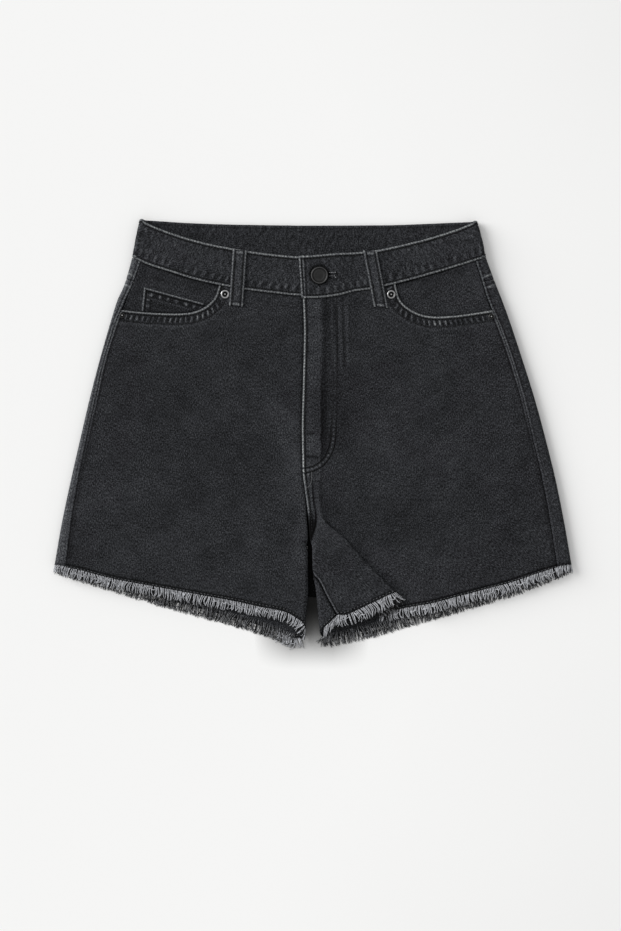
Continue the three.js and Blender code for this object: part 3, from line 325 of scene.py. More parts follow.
def spread(length, fine, coarse, reach=8.0, start=True, end=True):
    """Shares from 0 to 1 along a length, with fine steps near the ends that ask for them."""
    at, places = 0.0, [0.0]
    while at < length:
        near = min(at if start else length, length - at if end else length)
        at += lerp(fine, coarse, float(smooth(reach * 0.5, reach * 1.5, near)))
        places.append(at)
    return np.array(places) / places[-1]


def downs(line, fine, coarse, reach=11.0):
    """Places down a panel, by even steps along a line of it with fine ones at its two edges."""
    share = np.linspace(0, 1, 2001)
    length = run_length(np.stack([curve(share) for curve in line], axis=-1))
    return np.interp(spread(length[-1], fine, coarse, reach) * length[-1], length, share)


def inner_edge(side, y, reach):
    """The rounded inner edge of a leg, by length round it from where the cloth leaves the floor."""
    edge, drop, seam = (float(f(y)) for f in inner_tables[side])
    half = math.pi * EDGE_RADIUS
    turn = np.clip(reach / EDGE_RADIUS, 0, math.pi)
    inwards = np.where(reach < 0, -reach, np.maximum(0, reach - half))
    middle = edge + side * (CLOTH / 2 + EDGE_RADIUS)
    return points(
        middle - side * EDGE_RADIUS * np.sin(turn) + side * inwards,
        y - drop * (1 - np.clip(reach / max(half, seam), 0, 1)),
        BACK_Z + EDGE_RADIUS * (1 - np.cos(turn)),
    )


def half_turn(x, radius, angle, y, z):
    """Cloth that turns up round a side edge. The radius has the sign of its side."""
    return points(x + radius * np.sin(angle), y, z + abs(radius) * (1 - np.cos(angle)))


def leg_share(y):
    return 1 - smooth(CROTCH_Y - CROTCH_FADE, CROTCH_Y, y)


END_SHARES = np.linspace(0, 1, 19)


def inner_end(side, y, flat_x, flat_z):
    left = EDGE_SPAN * (1 - END_SHARES)
    flat = points(flat_x + side * left, y, flat_z)
    turned = inner_edge(side, y, float(inner_tables[side][2](y)) + INSEAM_GAP / 2 + left)
    return lerp(flat, turned, leg_share(y))


def stretch(shares, down, a, b, top, hem, level=1.0):
    """Part of a front row between two rails, bowed to follow the panel's top and hem."""
    s = shares[:, None]
    a, b = np.asarray(a, float), np.asarray(b, float)
    top_bow = top(shares) - lerp(top(0.0), top(1.0), s)
    hem_bow = hem(shares) - lerp(hem(0.0), hem(1.0), s)
    plan = lerp(a[:2], b[:2], s) + (1 - down) ** 2 * top_bow + down**2 * hem_bow
    return np.column_stack([plan, lerp(a[2], b[2], smooth(0, level, shares))])


def straight(a, b):
    a, b = np.asarray(a, float), np.asarray(b, float)
    return lambda s: lerp(a, b, np.asarray(s, float)[..., None])


def waist_line(start, end):
    def read(s):
        x = lerp(start, end, np.asarray(s, float))
        return np.stack([x, waist_seam(x) - SEAM_GAP], axis=-1)

    return read


POCKET_SHARES = spread(118, 0.75, 1.15, 4, end=False)
PANEL_SHARES = spread(78, 1.2, 1.5, 6)
PLEAT_TURN = 7
PLEAT_SPAN = 9
FLAP_COLUMNS = 44


def pleat(valley, ridge):
    """Path from the pleat's valley to its ridge in one section, as it stands when fully lapped."""
    shift = np.array([PLEAT_RADIUS, 0, PLEAT_RADIUS])
    low, high = valley + shift, ridge - shift

    def turn(centre, start, end):
        angle = np.linspace(start, end, PLEAT_TURN + 1)
        return points(
            centre[0] + PLEAT_RADIUS * np.cos(angle), centre[1], centre[2] + PLEAT_RADIUS * np.sin(angle)
        )

    first = turn(low, -math.pi / 2, -1.5 * math.pi)
    second = turn(high, -math.pi / 2, math.pi / 2)
    span = lerp(first[-1], second[0], np.linspace(0, 1, PLEAT_SPAN + 2)[1:-1, None])
    return np.vstack([first, span, second])


def fly_edge_part(down, mid, waist, hem, inner_y, inner_z):
    """The left panel from its middle to its inner edge, which passes under the right one at the fly."""
    under = 0.18 * float(smooth(-86, -66, inner_y)) + 0.82 * float(smooth(-56, -30, inner_y))
    inner_x = float(centre_x(max(inner_y, CROTCH_Y))) + lerp(-SEAM_GAP - SLIT, UNDERLAP, under)
    end = inner_end(-1, inner_y, inner_x, FRONT_Z + inner_z)
    return [stretch(PANEL_SHARES, down, mid, end[0], waist, hem)[1:-1], end], inner_x, FOLD_FADE


def pleat_part(down, mid, waist, hem, inner_y, inner_z, *bend):
    """The right panel from its middle to its inner edge, over the pleat's valley and ridge."""
    valley, ridge = np.reshape(bend, (2, 3)) + (0, 0, FRONT_Z)
    end = inner_end(1, inner_y, float(centre_x(max(inner_y, CROTCH_Y))), FRONT_Z + inner_z)
    bends = pleat(valley, ridge)
    s = np.linspace(0, 1, len(bends))
    slope = lerp(valley, ridge, s[:, None])
    slope[:, 2] = lerp(valley[2], ridge[2], smooth(0, 1, s))
    step = lerp(slope, bends, float(smooth(-3, 4, ridge[0] - valley[0])))
    flap = lerp(step[-1], end[0], np.linspace(0, 1, FLAP_COLUMNS)[1:-1, None])
    panel = stretch(PANEL_SHARES, down, mid, step[0], waist, hem, 0.65)[1:]
    return [panel, step[1:], flap, end], max(valley[0], ridge[0]) + 4, PLEAT_FADE


# The foot of each side seam, and the widths over which folds fade out at the panels' edges
SIDE_FOOT = {-1: (-254.6, -136.9), 1: (250.6, -137)}
FOLD_FADE = 22
PLEAT_FADE = 16


def front_panel(side, table, waist, inner_part):
    """Rows of a front panel, from its side seam to its inner edge."""
    scoop, hem = plane_curve(POCKET[side]), plane_curve(HEM[side])
    to_foot = straight(SIDE_FOOT[side], HEM[side][0])
    curves = rails(table)
    grid = []
    for down in downs(curves[1:3], 0.8, 2.6):
        y, mid_x, mid_y, *bend, inner_y, inner_z = (float(curve(down)) for curve in curves)
        seam = (float(side_seam_x(side, y)) - side * SEAM_GAP / 2, y, FRONT_Z)
        mid = (mid_x, mid_y, FRONT_Z)
        parts, clear_x, fade = inner_part(down, mid, waist, hem, inner_y, inner_z, *bend)
        row = np.vstack([stretch(POCKET_SHARES, down, seam, mid, scoop, to_foot), *parts])
        x = row[:, 0]
        inside = smooth(0, FOLD_FADE, side * (seam[0] - x)) * smooth(0, fade, side * (x - clear_x))
        row[:, 2] += fold_height(x, row[:, 1]) * inside + waist_lift(x, row[:, 1])
        grid.append(row)
    return np.array(grid)


def front_left():
    waist = waist_line(POCKET[-1][-1][0], float(centre_x(141)) + UNDERLAP - EDGE_SPAN)
    return front_panel(-1, FRONT_LEFT, waist, fly_edge_part)


def front_right():
    return front_panel(1, FRONT_RIGHT, waist_line(POCKET[1][-1][0], 15.5), pleat_part)


BACK_POCKET = {
    "centre": 96, "top": 86, "bottom": -52, "half_top": 64, "half_bottom": 56, "point": 14, "cloth": 0.9,
}


def pocket_rise(x, y):
    middle = (BACK_POCKET["top"] + BACK_POCKET["bottom"]) / 2
    half = (BACK_POCKET["top"] - BACK_POCKET["bottom"]) / 2
    dx = np.maximum(0, abs(abs(x) - BACK_POCKET["centre"]) - BACK_POCKET["half_top"] - 11)
    dy = np.maximum(0, abs(y - middle) - half - 12)
    return (BACK_POCKET["cloth"] + SEAM_GAP) * (1 - smooth(0, 14, np.hypot(dx, dy)))


FLOOR_SHARES = spread(250, 3, 3.2)[1:]
TURN_SHARES = np.linspace(0, 1, 11)[1:]
STRIP_SHARES = np.linspace(0, 1, 15)[1:]
INNER_SHARES = np.linspace(0, 1, 25)


def back_row(side, inner, floor_y, edge_y, seam_y):
    bend = float(edge_x(side, edge_y)) - side * (CLOTH / 2 + EDGE_RADIUS)
    x = lerp(inner[-1][0], bend, FLOOR_SHARES)
    y = floor_y(FLOOR_SHARES, x)
    floor = points(x, y, BACK_Z + pocket_rise(x, y))
    turn = half_turn(bend, side * EDGE_RADIUS, math.pi * TURN_SHARES, edge_y, BACK_Z)
    x = lerp(bend, float(side_seam_x(side, seam_y)) + side * SEAM_GAP / 2, STRIP_SHARES)
    strip = points(x, np.minimum(lerp(edge_y, seam_y, STRIP_SHARES), waist_seam(x) - 0.6), FRONT_Z)
    row = np.vstack([inner, floor, turn, strip])
    row[:, 2] += waist_lift(row[:, 0], row[:, 1])
    return row


def back_inner(side, y):
    """Inner end of a back row: flat at the centre seam, or round the leg's edge to the inseam."""
    columns = 8
    flat_x = CENTRE_BACK_X + side * SEAM_GAP / 2
    seam = float(inner_tables[side][2](y)) - INSEAM_GAP / 2
    half = math.pi * EDGE_RADIUS
    even = lerp(seam, -EDGE_SPAN, INNER_SHARES)
    k = INNER_SHARES * columns
    strip = lerp(seam, half, k / 2)
    turned = lerp(half, 0, (k - 2) / (columns - 3))
    last = lerp(0, -EDGE_SPAN, k - columns + 1)
    wrapped = np.where(k <= 2, strip, np.where(k <= columns - 1, turned, last))
    reach = lerp(even, wrapped, float(smooth(6, 14, seam)))
    flat = points(flat_x + side * (seam - even), y, BACK_Z)
    return lerp(flat, inner_edge(side, y, reach), leg_share(y))


def back_panel(side):
    table = BACK[side]
    curves = rails(table)
    hem = plane_curve(HEM_BACK[side][::-1])
    grid = []
    for down in downs(curves[::2], 1.0, 4.0, 8.0):
        edge_y, seam_y, inner_y = (float(curve(down)) for curve in curves)
        inner = back_inner(side, inner_y)

        def floor_y(s, x):
            seam_bow = yoke_seam(x) - SEAM_GAP - lerp(table[0][2], table[0][0], s)
            hem_bow = hem(s)[:, 1] - lerp(hem(0.0)[1], hem(1.0)[1], s)
            return lerp(inner[-1][1], edge_y, s) + (1 - down) ** 2 * seam_bow + down**2 * hem_bow

        grid.append(back_row(side, inner, floor_y, edge_y, seam_y))
    return np.array(grid)


def yoke(side):
    top_edge, low_edge = 181.0, 158.9
    top_seam, low_seam = (177.4, 157.8) if side < 0 else (177.6, 157.2)
    flat_x = CENTRE_BACK_X + side * SEAM_GAP / 2
    grid = []
    for down in spread(62, 1.0, 2.2):
        edge_y = lerp(top_edge, low_edge, down)
        inner_y = lerp(band_seam_back(flat_x) - SEAM_GAP, YOKE_FOOT, down)
        inner = points(flat_x, inner_y, BACK_Z).reshape(1, 3)

        def floor_y(s, x):
            return np.minimum(lerp(band_seam_back(x) - SEAM_GAP, yoke_seam(x) + SEAM_GAP, down), edge_y)

        grid.append(back_row(side, inner, floor_y, edge_y, lerp(top_seam, low_seam, down)))
    return np.array(grid)


LAP_SHARES = spread(38, 0.5, 1.2, 8, start=False)
BAND_STEP = 1.25
LAP_FROM = 24
LAP_RISE_FROM = 46


def steps(start, end):
    return np.linspace(start, end, max(2, round(abs(end - start) / BAND_STEP)) + 1)


def waistband():
    grid = []
    for down in spread(40, 0.8, 1.3, 6):
        over = lerp(-15.6, -11.8, down)
        side_heights = [lerp(220.8, 181.8, down), lerp(219.0, 181.4, down)]
        reach = BAND / 2 + BAND_EDGE_RADIUS
        bend = [float(edge_x(-1, side_heights[0])) + reach, float(edge_x(1, side_heights[1])) - reach]

        def front(x, raised):
            x = np.clip(lerp(x * 0.955, x, down), *bend)
            lapped = raised / BAND_LAP
            y = lerp(band_top_front(x) + 0.5 * lapped, waist_seam(x) - 2.7 * lapped, down)
            return points(x, y, BAND_FRONT_Z + raised)

        back_x = lerp(bend[0], bend[1], np.linspace(0, 1, 200)[1:-1])
        ramp = steps(LAP_RISE_FROM, LAP_FROM)[1:]
        turn = np.linspace(0, math.pi, 11)
        grid.append(np.vstack([
            front(steps(21, -182), 0),
            half_turn(bend[0], -BAND_EDGE_RADIUS, turn[::-1], side_heights[0], BAND_BACK_Z),
            points(back_x, lerp(band_top_back(back_x), band_seam_back(back_x), down), BAND_BACK_Z),
            half_turn(bend[1], BAND_EDGE_RADIUS, turn, side_heights[1], BAND_BACK_Z),
            front(steps(173, LAP_RISE_FROM), 0),
            front(ramp, BAND_LAP * (1 - smooth(LAP_FROM, LAP_RISE_FROM, ramp))),
            front(lerp(LAP_FROM, over, LAP_SHARES[1:]), BAND_LAP),
        ]))
    return np.array(grid)


def facing_z(side, x, y):
    near_side = 1 - smooth(0, 12, abs(x - side_seam_x(side, y)))
    near_waist = 1 - smooth(0, 10, waist_seam(x) - y)
    clear = smooth(134, 144, y) * smooth(100, 116, abs(x))
    return FRONT_Z - LAYER + LAYER * clear * np.maximum(near_side, near_waist) + waist_lift(x, y)


def pocket_facing(side):
    scoop = plane_curve(POCKET[side])
    start, end = scoop(0.0), scoop(1.0)
    grid = []
    for s in spread(120, 1.2, 1.8, 5):
        low = scoop(s)
        across = (low[0] - start[0]) / (end[0] - start[0])
        t = spread(60, 1.2, 1.6, 5)
        last_x = end[0] - side * POCKET_UNDER * t
        top_y = waist_seam(lerp(float(side_seam_x(side, 176)), last_x, across)) - 2 * SEAM_GAP
        y = lerp(top_y, low[1] - POCKET_UNDER * (1 - 0.3 * s), t)
        x = lerp(side_seam_x(side, y) - side * 2 * SEAM_GAP, last_x, across)
        grid.append(points(x, y, facing_z(side, x, y)))
    return np.array(grid).transpose(1, 0, 2)


COIN = {"left": (-173.8, 151.0), "foot": -176.4, "right": (-112.6, 134.5), "cloth": 0.8}


def coin_pocket():
    scoop = column(*zip(*POCKET[-1]))
    s = spread(62, 0.6, 0.8, 8)
    t = spread(24, 0.5, 0.7, 8, end=False)
    s, t = np.meshgrid(s, t)
    x = lerp(lerp(COIN["left"][0], COIN["right"][0], s), lerp(COIN["foot"], COIN["right"][0], s), t)
    y = lerp(lerp(COIN["left"][1], COIN["right"][1], s), scoop(x) + SEAM_GAP + 1, t)
    return points(x, y, facing_z(-1, x, y) + (CLOTH + COIN["cloth"]) / 2 + SEAM_GAP)


# Crotch of the back, seen in the slit between the legs; its cloth is painted near black for the shade there
CROTCH = {"top": -108, "bottom": -168, "under": 0.7, "at_centre": {-1: 3.0, 1: 0.5}}


def crotch():
    grid = []
    for y in np.linspace(CROTCH["top"], CROTCH["bottom"], 36):
        sides = []
        for side in (-1, 1):
            edge, drop, _ = inner_tables[side]
            legs = float(edge(y + 0.6 * drop(y))) + side * CROTCH["under"]
            sides.append(lerp(CENTRE_BACK_X + side * CROTCH["at_centre"][side], legs, float(leg_share(y))))
        grid.append(points(lerp(*sides, np.linspace(0, 1, 7)), y, BACK_Z))
    return np.array(grid)


def fly_shield():
    y, x = np.meshgrid(np.linspace(137, -22, 70), np.linspace(-0.2, 7, 8), indexing="ij")
    return points(x, y, FRONT_Z - 0.4 + waist_lift(x, y))


FRONT_LOOPS = {"left": ((-75.2, 188.9), (-79.2, 131.2)), "right": ((58.6, 187.9), (69.8, 130.2))}
BACK_LOOPS = {"left": -118, "centre": -1, "right": 114}
LOOP_ACROSS = np.linspace(-1, 1, 19)


def front_loop(top, foot):
    t, k = np.meshgrid(np.linspace(0, 1, 72), LOOP_ACROSS, indexing="ij")
    x, y = lerp(top[0], foot[0], t), lerp(top[1], foot[1], t)
    arch = LOOP_ARCH * np.sin(math.pi * np.minimum(1, t * 1.3))
    on_band = BAND_FRONT_Z + (BAND + LOOP_CLOTH) / 2 + SEAM_GAP + arch
    on_panel = FRONT_Z + waist_lift(x, y) + (CLOTH + LOOP_CLOTH) / 2 + SEAM_GAP + LOOP_ARCH / 2
    z = lerp(on_band, on_panel, smooth(0.72, 0.86, t))
    return points(x + k * LOOP_HALF, y - k * 0.6, z)


def back_loop(x):
    t, k = np.meshgrid(np.linspace(0, 1, 56), LOOP_ACROSS, indexing="ij")
    y = lerp(band_top_back(x) - 0.5, band_seam_back(x) - 11, t)
    return points(x + k * LOOP_HALF, y, LOOP_CLOTH / 2)


# Shader maths
class Field:
    """A socket that carries numbers. Arithmetic on it adds Math nodes."""

    def __init__(self, paint, socket):
        self.paint, self.socket = paint, socket

    def maths(self, operation, *values):
        return self.paint.node("ShaderNodeMath", {"operation": operation}, dict(enumerate(values)))

    def __add__(self, other):
        return self.maths("ADD", self, other)

    def __sub__(self, other):
        return self.maths("SUBTRACT", self, other)

    def __rsub__(self, other):
        return self.maths("SUBTRACT", other, self)

    def __mul__(self, other):
        return self.maths("MULTIPLY", self, other)

    def __pow__(self, other):
        return self.maths("POWER", self, other)

    __radd__ = __add__
    __rmul__ = __mul__

    def __abs__(self):
        return self.maths("ABSOLUTE", self)

    def sine(self):
        return self.maths("SINE", self)

    def limit(self, low=0.0, high=1.0):
        return self.maths("MINIMUM", self.maths("MAXIMUM", self, low), high)

    def near(self, place, width):
        """1 where the field is at a place, falling to 0 a width away."""
        return (1 - abs(self - place) * (1 / width)).limit()


class Paint:
    """A material being mixed. Every node of it comes from node()."""

    def __init__(self, name, **constants):
        self.material = bpy.data.materials.new(name)
        self.material.use_nodes = True
        self.tree = self.material.node_tree
        self.shader = self.tree.nodes["Principled BSDF"]
        for socket, value in constants.items():
            self.shader.inputs[socket.replace("_", " ")].default_value = value

    def node(self, kind, settings, sockets, output=0):
        made = self.tree.nodes.new(kind)
        for key, value in settings.items():
            setattr(made, key, value)
        for key, value in sockets.items():
            self.plug(made.inputs[key], value)
        return Field(self, made.outputs[output])

    def plug(self, socket, value):
        if isinstance(value, Field):
            self.tree.links.new(value.socket, socket)
        else:
            socket.default_value = value

    def finish(self, **sockets):
        for socket, value in sockets.items():
            self.plug(self.shader.inputs[socket.replace("_", " ")], value)
        return self.material

    def attribute(self, name, output):
        return self.node("ShaderNodeAttribute", {"attribute_name": name}, {}, output)

    def split(self, vector):
        parts = self.node("ShaderNodeSeparateXYZ", {}, {0: vector}).socket.node
        return [Field(self, part) for part in parts.outputs]

    def object_place(self):
        return self.node("ShaderNodeTexCoord", {}, {}, 3)

    def stretched(self, vector, x, y):
        return self.node("ShaderNodeVectorMath", {"operation": "MULTIPLY"}, {0: vector, 1: (x, y, 1)})

    def noise(self, vector, scale, detail=1.0):
        """Noise about 0, roughly 1 from its usual low to its usual high."""
        made = self.node("ShaderNodeTexNoise", {}, {"Vector": vector, "Scale": scale, "Detail": detail})
        return (made - 0.5) * 2.6

    def shade(self, level, tint):
        """Colour of a display level from 0 to 255, tinted."""
        value = (level * (1 / 255)).limit(0.02, 0.95) ** 2.2
        return self.node("ShaderNodeCombineColor", {}, {k: value * part for k, part in enumerate(tint)})

    def bump(self, height, distance):
        return self.node("ShaderNodeBump", {}, {"Height": height, "Distance": distance * MM})


def denim(name, level, streak=0.0, rope=0.3, rim=88):
    """Washed twill: grain over a base level, the worn rims and dark lines of its seams, and its worn marks
    with painted light and shade.
    """
    paint = Paint(name, Specular_IOR_Level=0.1)
    weave = paint.attribute("weave", 1)
    across, down, _ = paint.split(weave)
    edge_from, edge_along, edge_worn = paint.split(paint.attribute("edge", 1))
    row_from, row_along, row_sewn = paint.split(paint.attribute("row", 1))
    fine = paint.noise(weave, 0.95, 0.0)
    yarn = paint.noise(paint.stretched(weave, 1.05, 0.42), 1.0, 0.0)
    slub = paint.noise(paint.stretched(weave, 0.5, 0.13), 1.0, 1.0)
    mottle = paint.noise(weave, 0.14, 2.0)
    cloud = paint.noise(weave, 0.02, 2.0)
    twill = (across * 1.25 + down * 2.05 + mottle * 3.0).sine()
    tone = level + fine * 26.0 + yarn * 21.0 + twill * 1.6 + mottle * 6.5 + cloud * 6.0 + slub * streak
    # Worn marks and painted light and shade, carried together in one attribute
    tone += paint.attribute("wear_and_shading", 2) * (0.85 + fine * 0.35 + yarn * 0.3)
    worn = edge_from.near(0.95, 1.45) * edge_worn
    wave = (edge_along * 1.85 + edge_from * 0.9 + mottle * 1.4).sine()
    tone += worn * (1 + (wave - 0.5) * rope * 0.6 + fine * 0.3) * rim
    # The groove darkens the cloth beside a worn edge: partly its stitch row, partly painted shade under the
    # rolled edge
    groove = (edge_from.near(2.9, 1.3) * edge_worn * (1.0 + wave * 0.3)).limit()
    sunk = abs(row_from).near(1.8, 0.95) * row_sewn
    pinched = row_from.near(0.0, 1.5) * row_sewn * ((row_along * 1.4).sine() * 0.6 + 0.4).limit()
    tone = tone * (1 - groove * 0.8) * (1 - sunk * 0.68) + pinched * 36
    relief = fine * 0.35 + yarn * 0.3 + twill * 0.12 + worn * 0.8
    relief = relief - groove * 0.9 - sunk * 0.7 + pinched * 0.5
    return paint.finish(
        Base_Color=paint.shade(tone, (0.955, 1.0, 1.12 - ((tone - 55) * 0.015).limit() * 0.13)),
        Roughness=(0.88 + fine * 0.06).limit(),
        Normal=paint.bump(relief, 0.3),
    )


def thread(name, dark, light):
    paint = Paint(name, Specular_IOR_Level=0.15)
    place = paint.object_place()
    grain = paint.noise(place, 900.0)
    strand = paint.noise(place, 380.0)
    tone = (dark + light) / 2 + (strand * 0.9 + grain * 0.5) * (light - dark) * 0.7
    return paint.finish(
        Base_Color=paint.shade(tone, (0.98, 1.0, 1.05)),
        Roughness=(0.85 + grain * 0.08).limit(),
        Normal=paint.bump(grain, 0.1),
    )


def metal(name, face, rings, rough):
    """Metal whose face has rings of other levels: (radius, half width, level)."""
    paint = Paint(name, Metallic=0.85)
    place = paint.object_place()
    grain = paint.noise(place, 500.0, 2.0)
    blotch = paint.noise(place, 160.0, 1.0)
    radius = paint.attribute("radius", 2)
    tone = face + (blotch * 0.12 + grain * 0.1) * face
    for at, half, level in rings:
        tone += (radius.near(at, half) * 1.6).limit() * (level - face) * (1 + blotch * 0.15)
    return paint.finish(
        Base_Color=paint.shade(tone, (1.0, 1.0, 1.0)),
        Roughness=(rough + grain * 0.08).limit(0.1, 1.0),
        Normal=paint.bump(grain, 0.02),
    )


# Finishes: a material and its slot
FRONT_DENIM = denim("washed_denim", 43), "denim"
BAND_DENIM = denim("waistband_denim", 46, streak=15.0, rope=0.4, rim=80), "denim"
SIDE_DENIM = denim("side_denim", 45, rope=0.5, rim=80), "denim"
FACING_DENIM = denim("facing_denim", 42), "denim_facing"
# Denim painted near black: painted shade for the crotch deep in the slit
SHADED_DENIM = denim("crotch_shade_denim", 3), "denim"
SEWING = thread("sewing_thread", 22, 52), "denim"
HEM_SEWING = thread("hem_thread", 60, 110), "denim"
PALE_SEWING = thread("rubbed_thread", 105, 185), "denim"
FRAY_PALE = thread("bleached_fray", 120, 200), "frayed_denim"
# Greyer threads for the back hems and the pleat's middle layer, darker partly by dye and partly as painted
# shade on these lower layers
FRAY_GREY = thread("grey_fray", 46, 138), "frayed_denim"
FRAY_DARK = thread("dark_fray", 16, 48), "frayed_denim"
# The button's near-black outer ring is painted shade at its edge, joined to the painted shade round it on
# the band
BUTTON_RINGS = [(9.2, 0.8, 6), (8.0, 0.7, 74), (6.95, 0.6, 30), (4.9, 0.6, 56)]
GUNMETAL = metal("gunmetal", 50, BUTTON_RINGS, 0.45), "dark_metal"
AGED = metal("aged_nickel", 14, [(3.7, 1.25, 158), (0.0, 1.0, 190)], 0.35), "aged_metal"
BLACK_METAL = metal("black_metal", 16, [(2.5, 0.7, 62), (0.0, 0.9, 200)], 0.3), "dark_metal"


def mesh_of(name, work):
    data = bpy.data.meshes.new(name)
    work.to_mesh(data)
    work.free()
    data.shade_smooth()
    return data


def own(name, data, finish, node):
    material, slot_name = finish
    piece = bpy.data.objects.new(name, data)
    bpy.context.collection.objects.link(piece)
    data.materials.append(material)
    if node:
        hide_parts(node)
    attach(piece, "root")
    return piece


def lengths(grid, axis):
    """Length along the cloth, down its columns for axis 0 or across its rows for axis 1."""
    step = np.linalg.norm(np.diff(grid, axis=axis), axis=2)
    total = np.cumsum(step, axis=axis)
    start = np.zeros_like(np.take(total, [0], axis=axis))
    return np.concatenate([start, total], axis=axis)


def normals_of(grid):
    normal = np.cross(np.gradient(grid, axis=1), np.gradient(grid, axis=0))
    return normal / np.maximum(np.linalg.norm(normal, axis=2, keepdims=True), 1e-9)


def from_edges(grid):
    """Lengths along the cloth from its first column, its last one, its first row and its last one."""
    across, down = lengths(grid, 1), lengths(grid, 0)
    return across, across[:, -1:] - across, down, down[-1:] - down


class Seam:
    """A line on the plan of the shorts, for features that run beside it."""

    def __init__(self, line):
        self.line = np.asarray(line, float)[:, :2]
        self.step = np.diff(self.line, axis=0)
        self.length = np.linalg.norm(self.step, axis=1)
        self.places = run_length(self.line)
        self.total = float(self.places[-1])

    def near(self, x, y):
        """Distance from the line, place along it, and the side it is on: 1 left of its direction."""
        best = np.full(np.shape(x), 1e9)
        along, side = np.zeros_like(best), np.ones_like(best)
        for (ax, ay), (dx, dy), length, start in zip(self.line, self.step, self.length, self.places):
            px, py = x - ax, y - ay
            t = np.clip((px * dx + py * dy) / (length * length), 0, 1)
            away = np.hypot(px - t * dx, py - t * dy)
            closer = away < best
            best = np.where(closer, away, best)
            along = np.where(closer, start + t * length, along)
            side = np.where(closer, np.sign(dx * py - dy * px), side)
        return best, along, side

    def at(self, place, offset):
        """Plan points at places along the line, offset to its left."""
        x, y = read_at(place, self.places, self.line).T
        i = np.clip(np.searchsorted(self.places, place) - 1, 0, len(self.step) - 1)
        unit = self.step[i] / self.length[i][..., None]
        return x - unit[..., 1] * offset, y + unit[..., 0] * offset


RIPPLE_WAVES = 26


def ripple(x, y, seed, short, long):
    """Even, gentle unevenness between two wavelengths, about 1 high."""
    draw = np.random.default_rng(seed)
    total = 0
    for _ in range(RIPPLE_WAVES):
        turn = draw.uniform(0, 2 * math.pi)
        wave = draw.uniform(1 / long, 1 / short) * 2 * math.pi
        total += np.sin((x * math.cos(turn) + y * math.sin(turn)) * wave + draw.uniform(0, 6.28))
    return total / math.sqrt(RIPPLE_WAVES)


def puckers(along, distance, pitch, seed, slant=0.25):
    """Little ridges across a seam, uneven in pitch and height."""
    drift = 0.9 * np.sin(along * 0.083 + seed) + 0.5 * np.sin(along * 0.21 + 2.3 * seed)
    strength = 0.72 + 0.28 * np.sin(along * 0.13 + 1.7 * seed) * np.sin(along * 0.047 + seed)
    return strength * np.sin(2 * math.pi * along / pitch + drift + slant * distance)


def window(x, start, end, soft=1.0):
    return smooth(start - soft, start + soft, x) * (1 - smooth(end - soft, end + soft, x))


def nearest_edge(*edges):
    """Of several (distance, place along, wear), the one whose edge lies nearest to each point."""
    stack = np.array([np.stack(np.broadcast_arrays(*edge)) for edge in edges])
    pick = stack[:, 0].argmin(axis=0)
    return np.moveaxis(np.take_along_axis(stack, pick[None, None], axis=0)[0], 0, -1)


def weave_of(grid):
    """Place on the cloth: across by length in the section, down by the plan."""
    step = np.hypot(np.diff(grid[:, :, 0], axis=1), np.diff(grid[:, :, 2], axis=1))
    across = np.concatenate([np.zeros((len(grid), 1)), np.cumsum(step, axis=1)], axis=1)
    middle = grid.shape[1] // 2
    across += (grid[:, middle, 0] - across[:, middle])[:, None]
    return points(across, grid[:, :, 1], 0.0)


def cloth(node, grid, thickness, finish, height=0.0, wear_and_shading=0.0, edge=None, row=None, rim=0.5):
    """A sheet of cloth on a grid of points, with its relief, its worn marks with painted light and shade,
    and rounded edges.
    """
    name = f"{node}_cloth"
    rows, columns = grid.shape[:2]
    shaped = grid + normals_of(grid) * np.broadcast_to(height, (rows, columns))[..., None]
    work = bmesh.new()
    bmesh.ops.create_grid(work, x_segments=columns - 1, y_segments=rows - 1, size=1)
    work.verts.ensure_lookup_table()
    for vertex, place in zip(work.verts, (shaped * MM).reshape(-1, 3)):
        vertex.co = place
    data = mesh_of(name, work)
    wear_and_shading = np.broadcast_to(wear_and_shading, (rows, columns))
    for field, values in {"weave": weave_of(grid), "wear_and_shading": wear_and_shading, "edge": edge, "row": row}.items():
        if values is not None:
            vector = values.ndim == 3
            made = data.attributes.new(field, "FLOAT_VECTOR" if vector else "FLOAT", "POINT")
            made.data.foreach_set("vector" if vector else "value", values.astype(np.float32).ravel())
    piece = own(name, data, finish, node)
    share = np.round(rim + (1 - rim) * smooth(0, 1.2, np.minimum.reduce(from_edges(grid))).ravel(), 2)
    group = piece.vertex_groups.new(name="thickness")
    for level in np.unique(share):
        group.add(np.flatnonzero(share == level).tolist(), float(level), "REPLACE")
    wall = piece.modifiers.new("thickness", "SOLIDIFY")
    wall.thickness = thickness * MM
    wall.offset = 0
    wall.vertex_group = "thickness"
    return piece, shaped


# Stitches and frayed threads
LOWEST_THREAD = 0.3
SEWING_RADIUS = 0.33
HEM_SEWING_RADIUS = 0.32
RUBBED_RADIUS = 0.36
UNDER_RADIUS = 0.36
STITCH_TAPER = (0.5, 1.0, 1.0, 0.5)
STITCH_RISE = np.array([[-0.2], [0.18], [0.18], [-0.2]])


def threads(name, lines, radius, finish, node=None):
    data = bpy.data.curves.new(name, "CURVE")
    data.dimensions = "3D"
    data.bevel_depth = radius * MM
    data.bevel_resolution = 0
    data.use_fill_caps = True
    for line, taper in lines:
        line[:, 2] = np.maximum(line[:, 2], LOWEST_THREAD)
        spline = data.splines.new("POLY")
        spline.points.add(len(line) - 1)
        spline.points.foreach_set("co", np.column_stack([line * MM, np.ones(len(line))]).reshape(-1))
        spline.points.foreach_set("radius", taper)
        spline.use_smooth = True
    return own(name, data, finish, node)


def stitches(line, normal, pitch=3.2, share=0.74):
    """Stitches along a line of surface points with their normals."""
    length = run_length(line)
    made = []
    for n in range(int(length[-1] / pitch)):
        at = (n + 0.5) * pitch + np.array([-0.5, -0.3, 0.3, 0.5]) * pitch * share
        made.append((read_at(at, length, line) + read_at(at, length, normal) * STITCH_RISE, STITCH_TAPER))
    return made


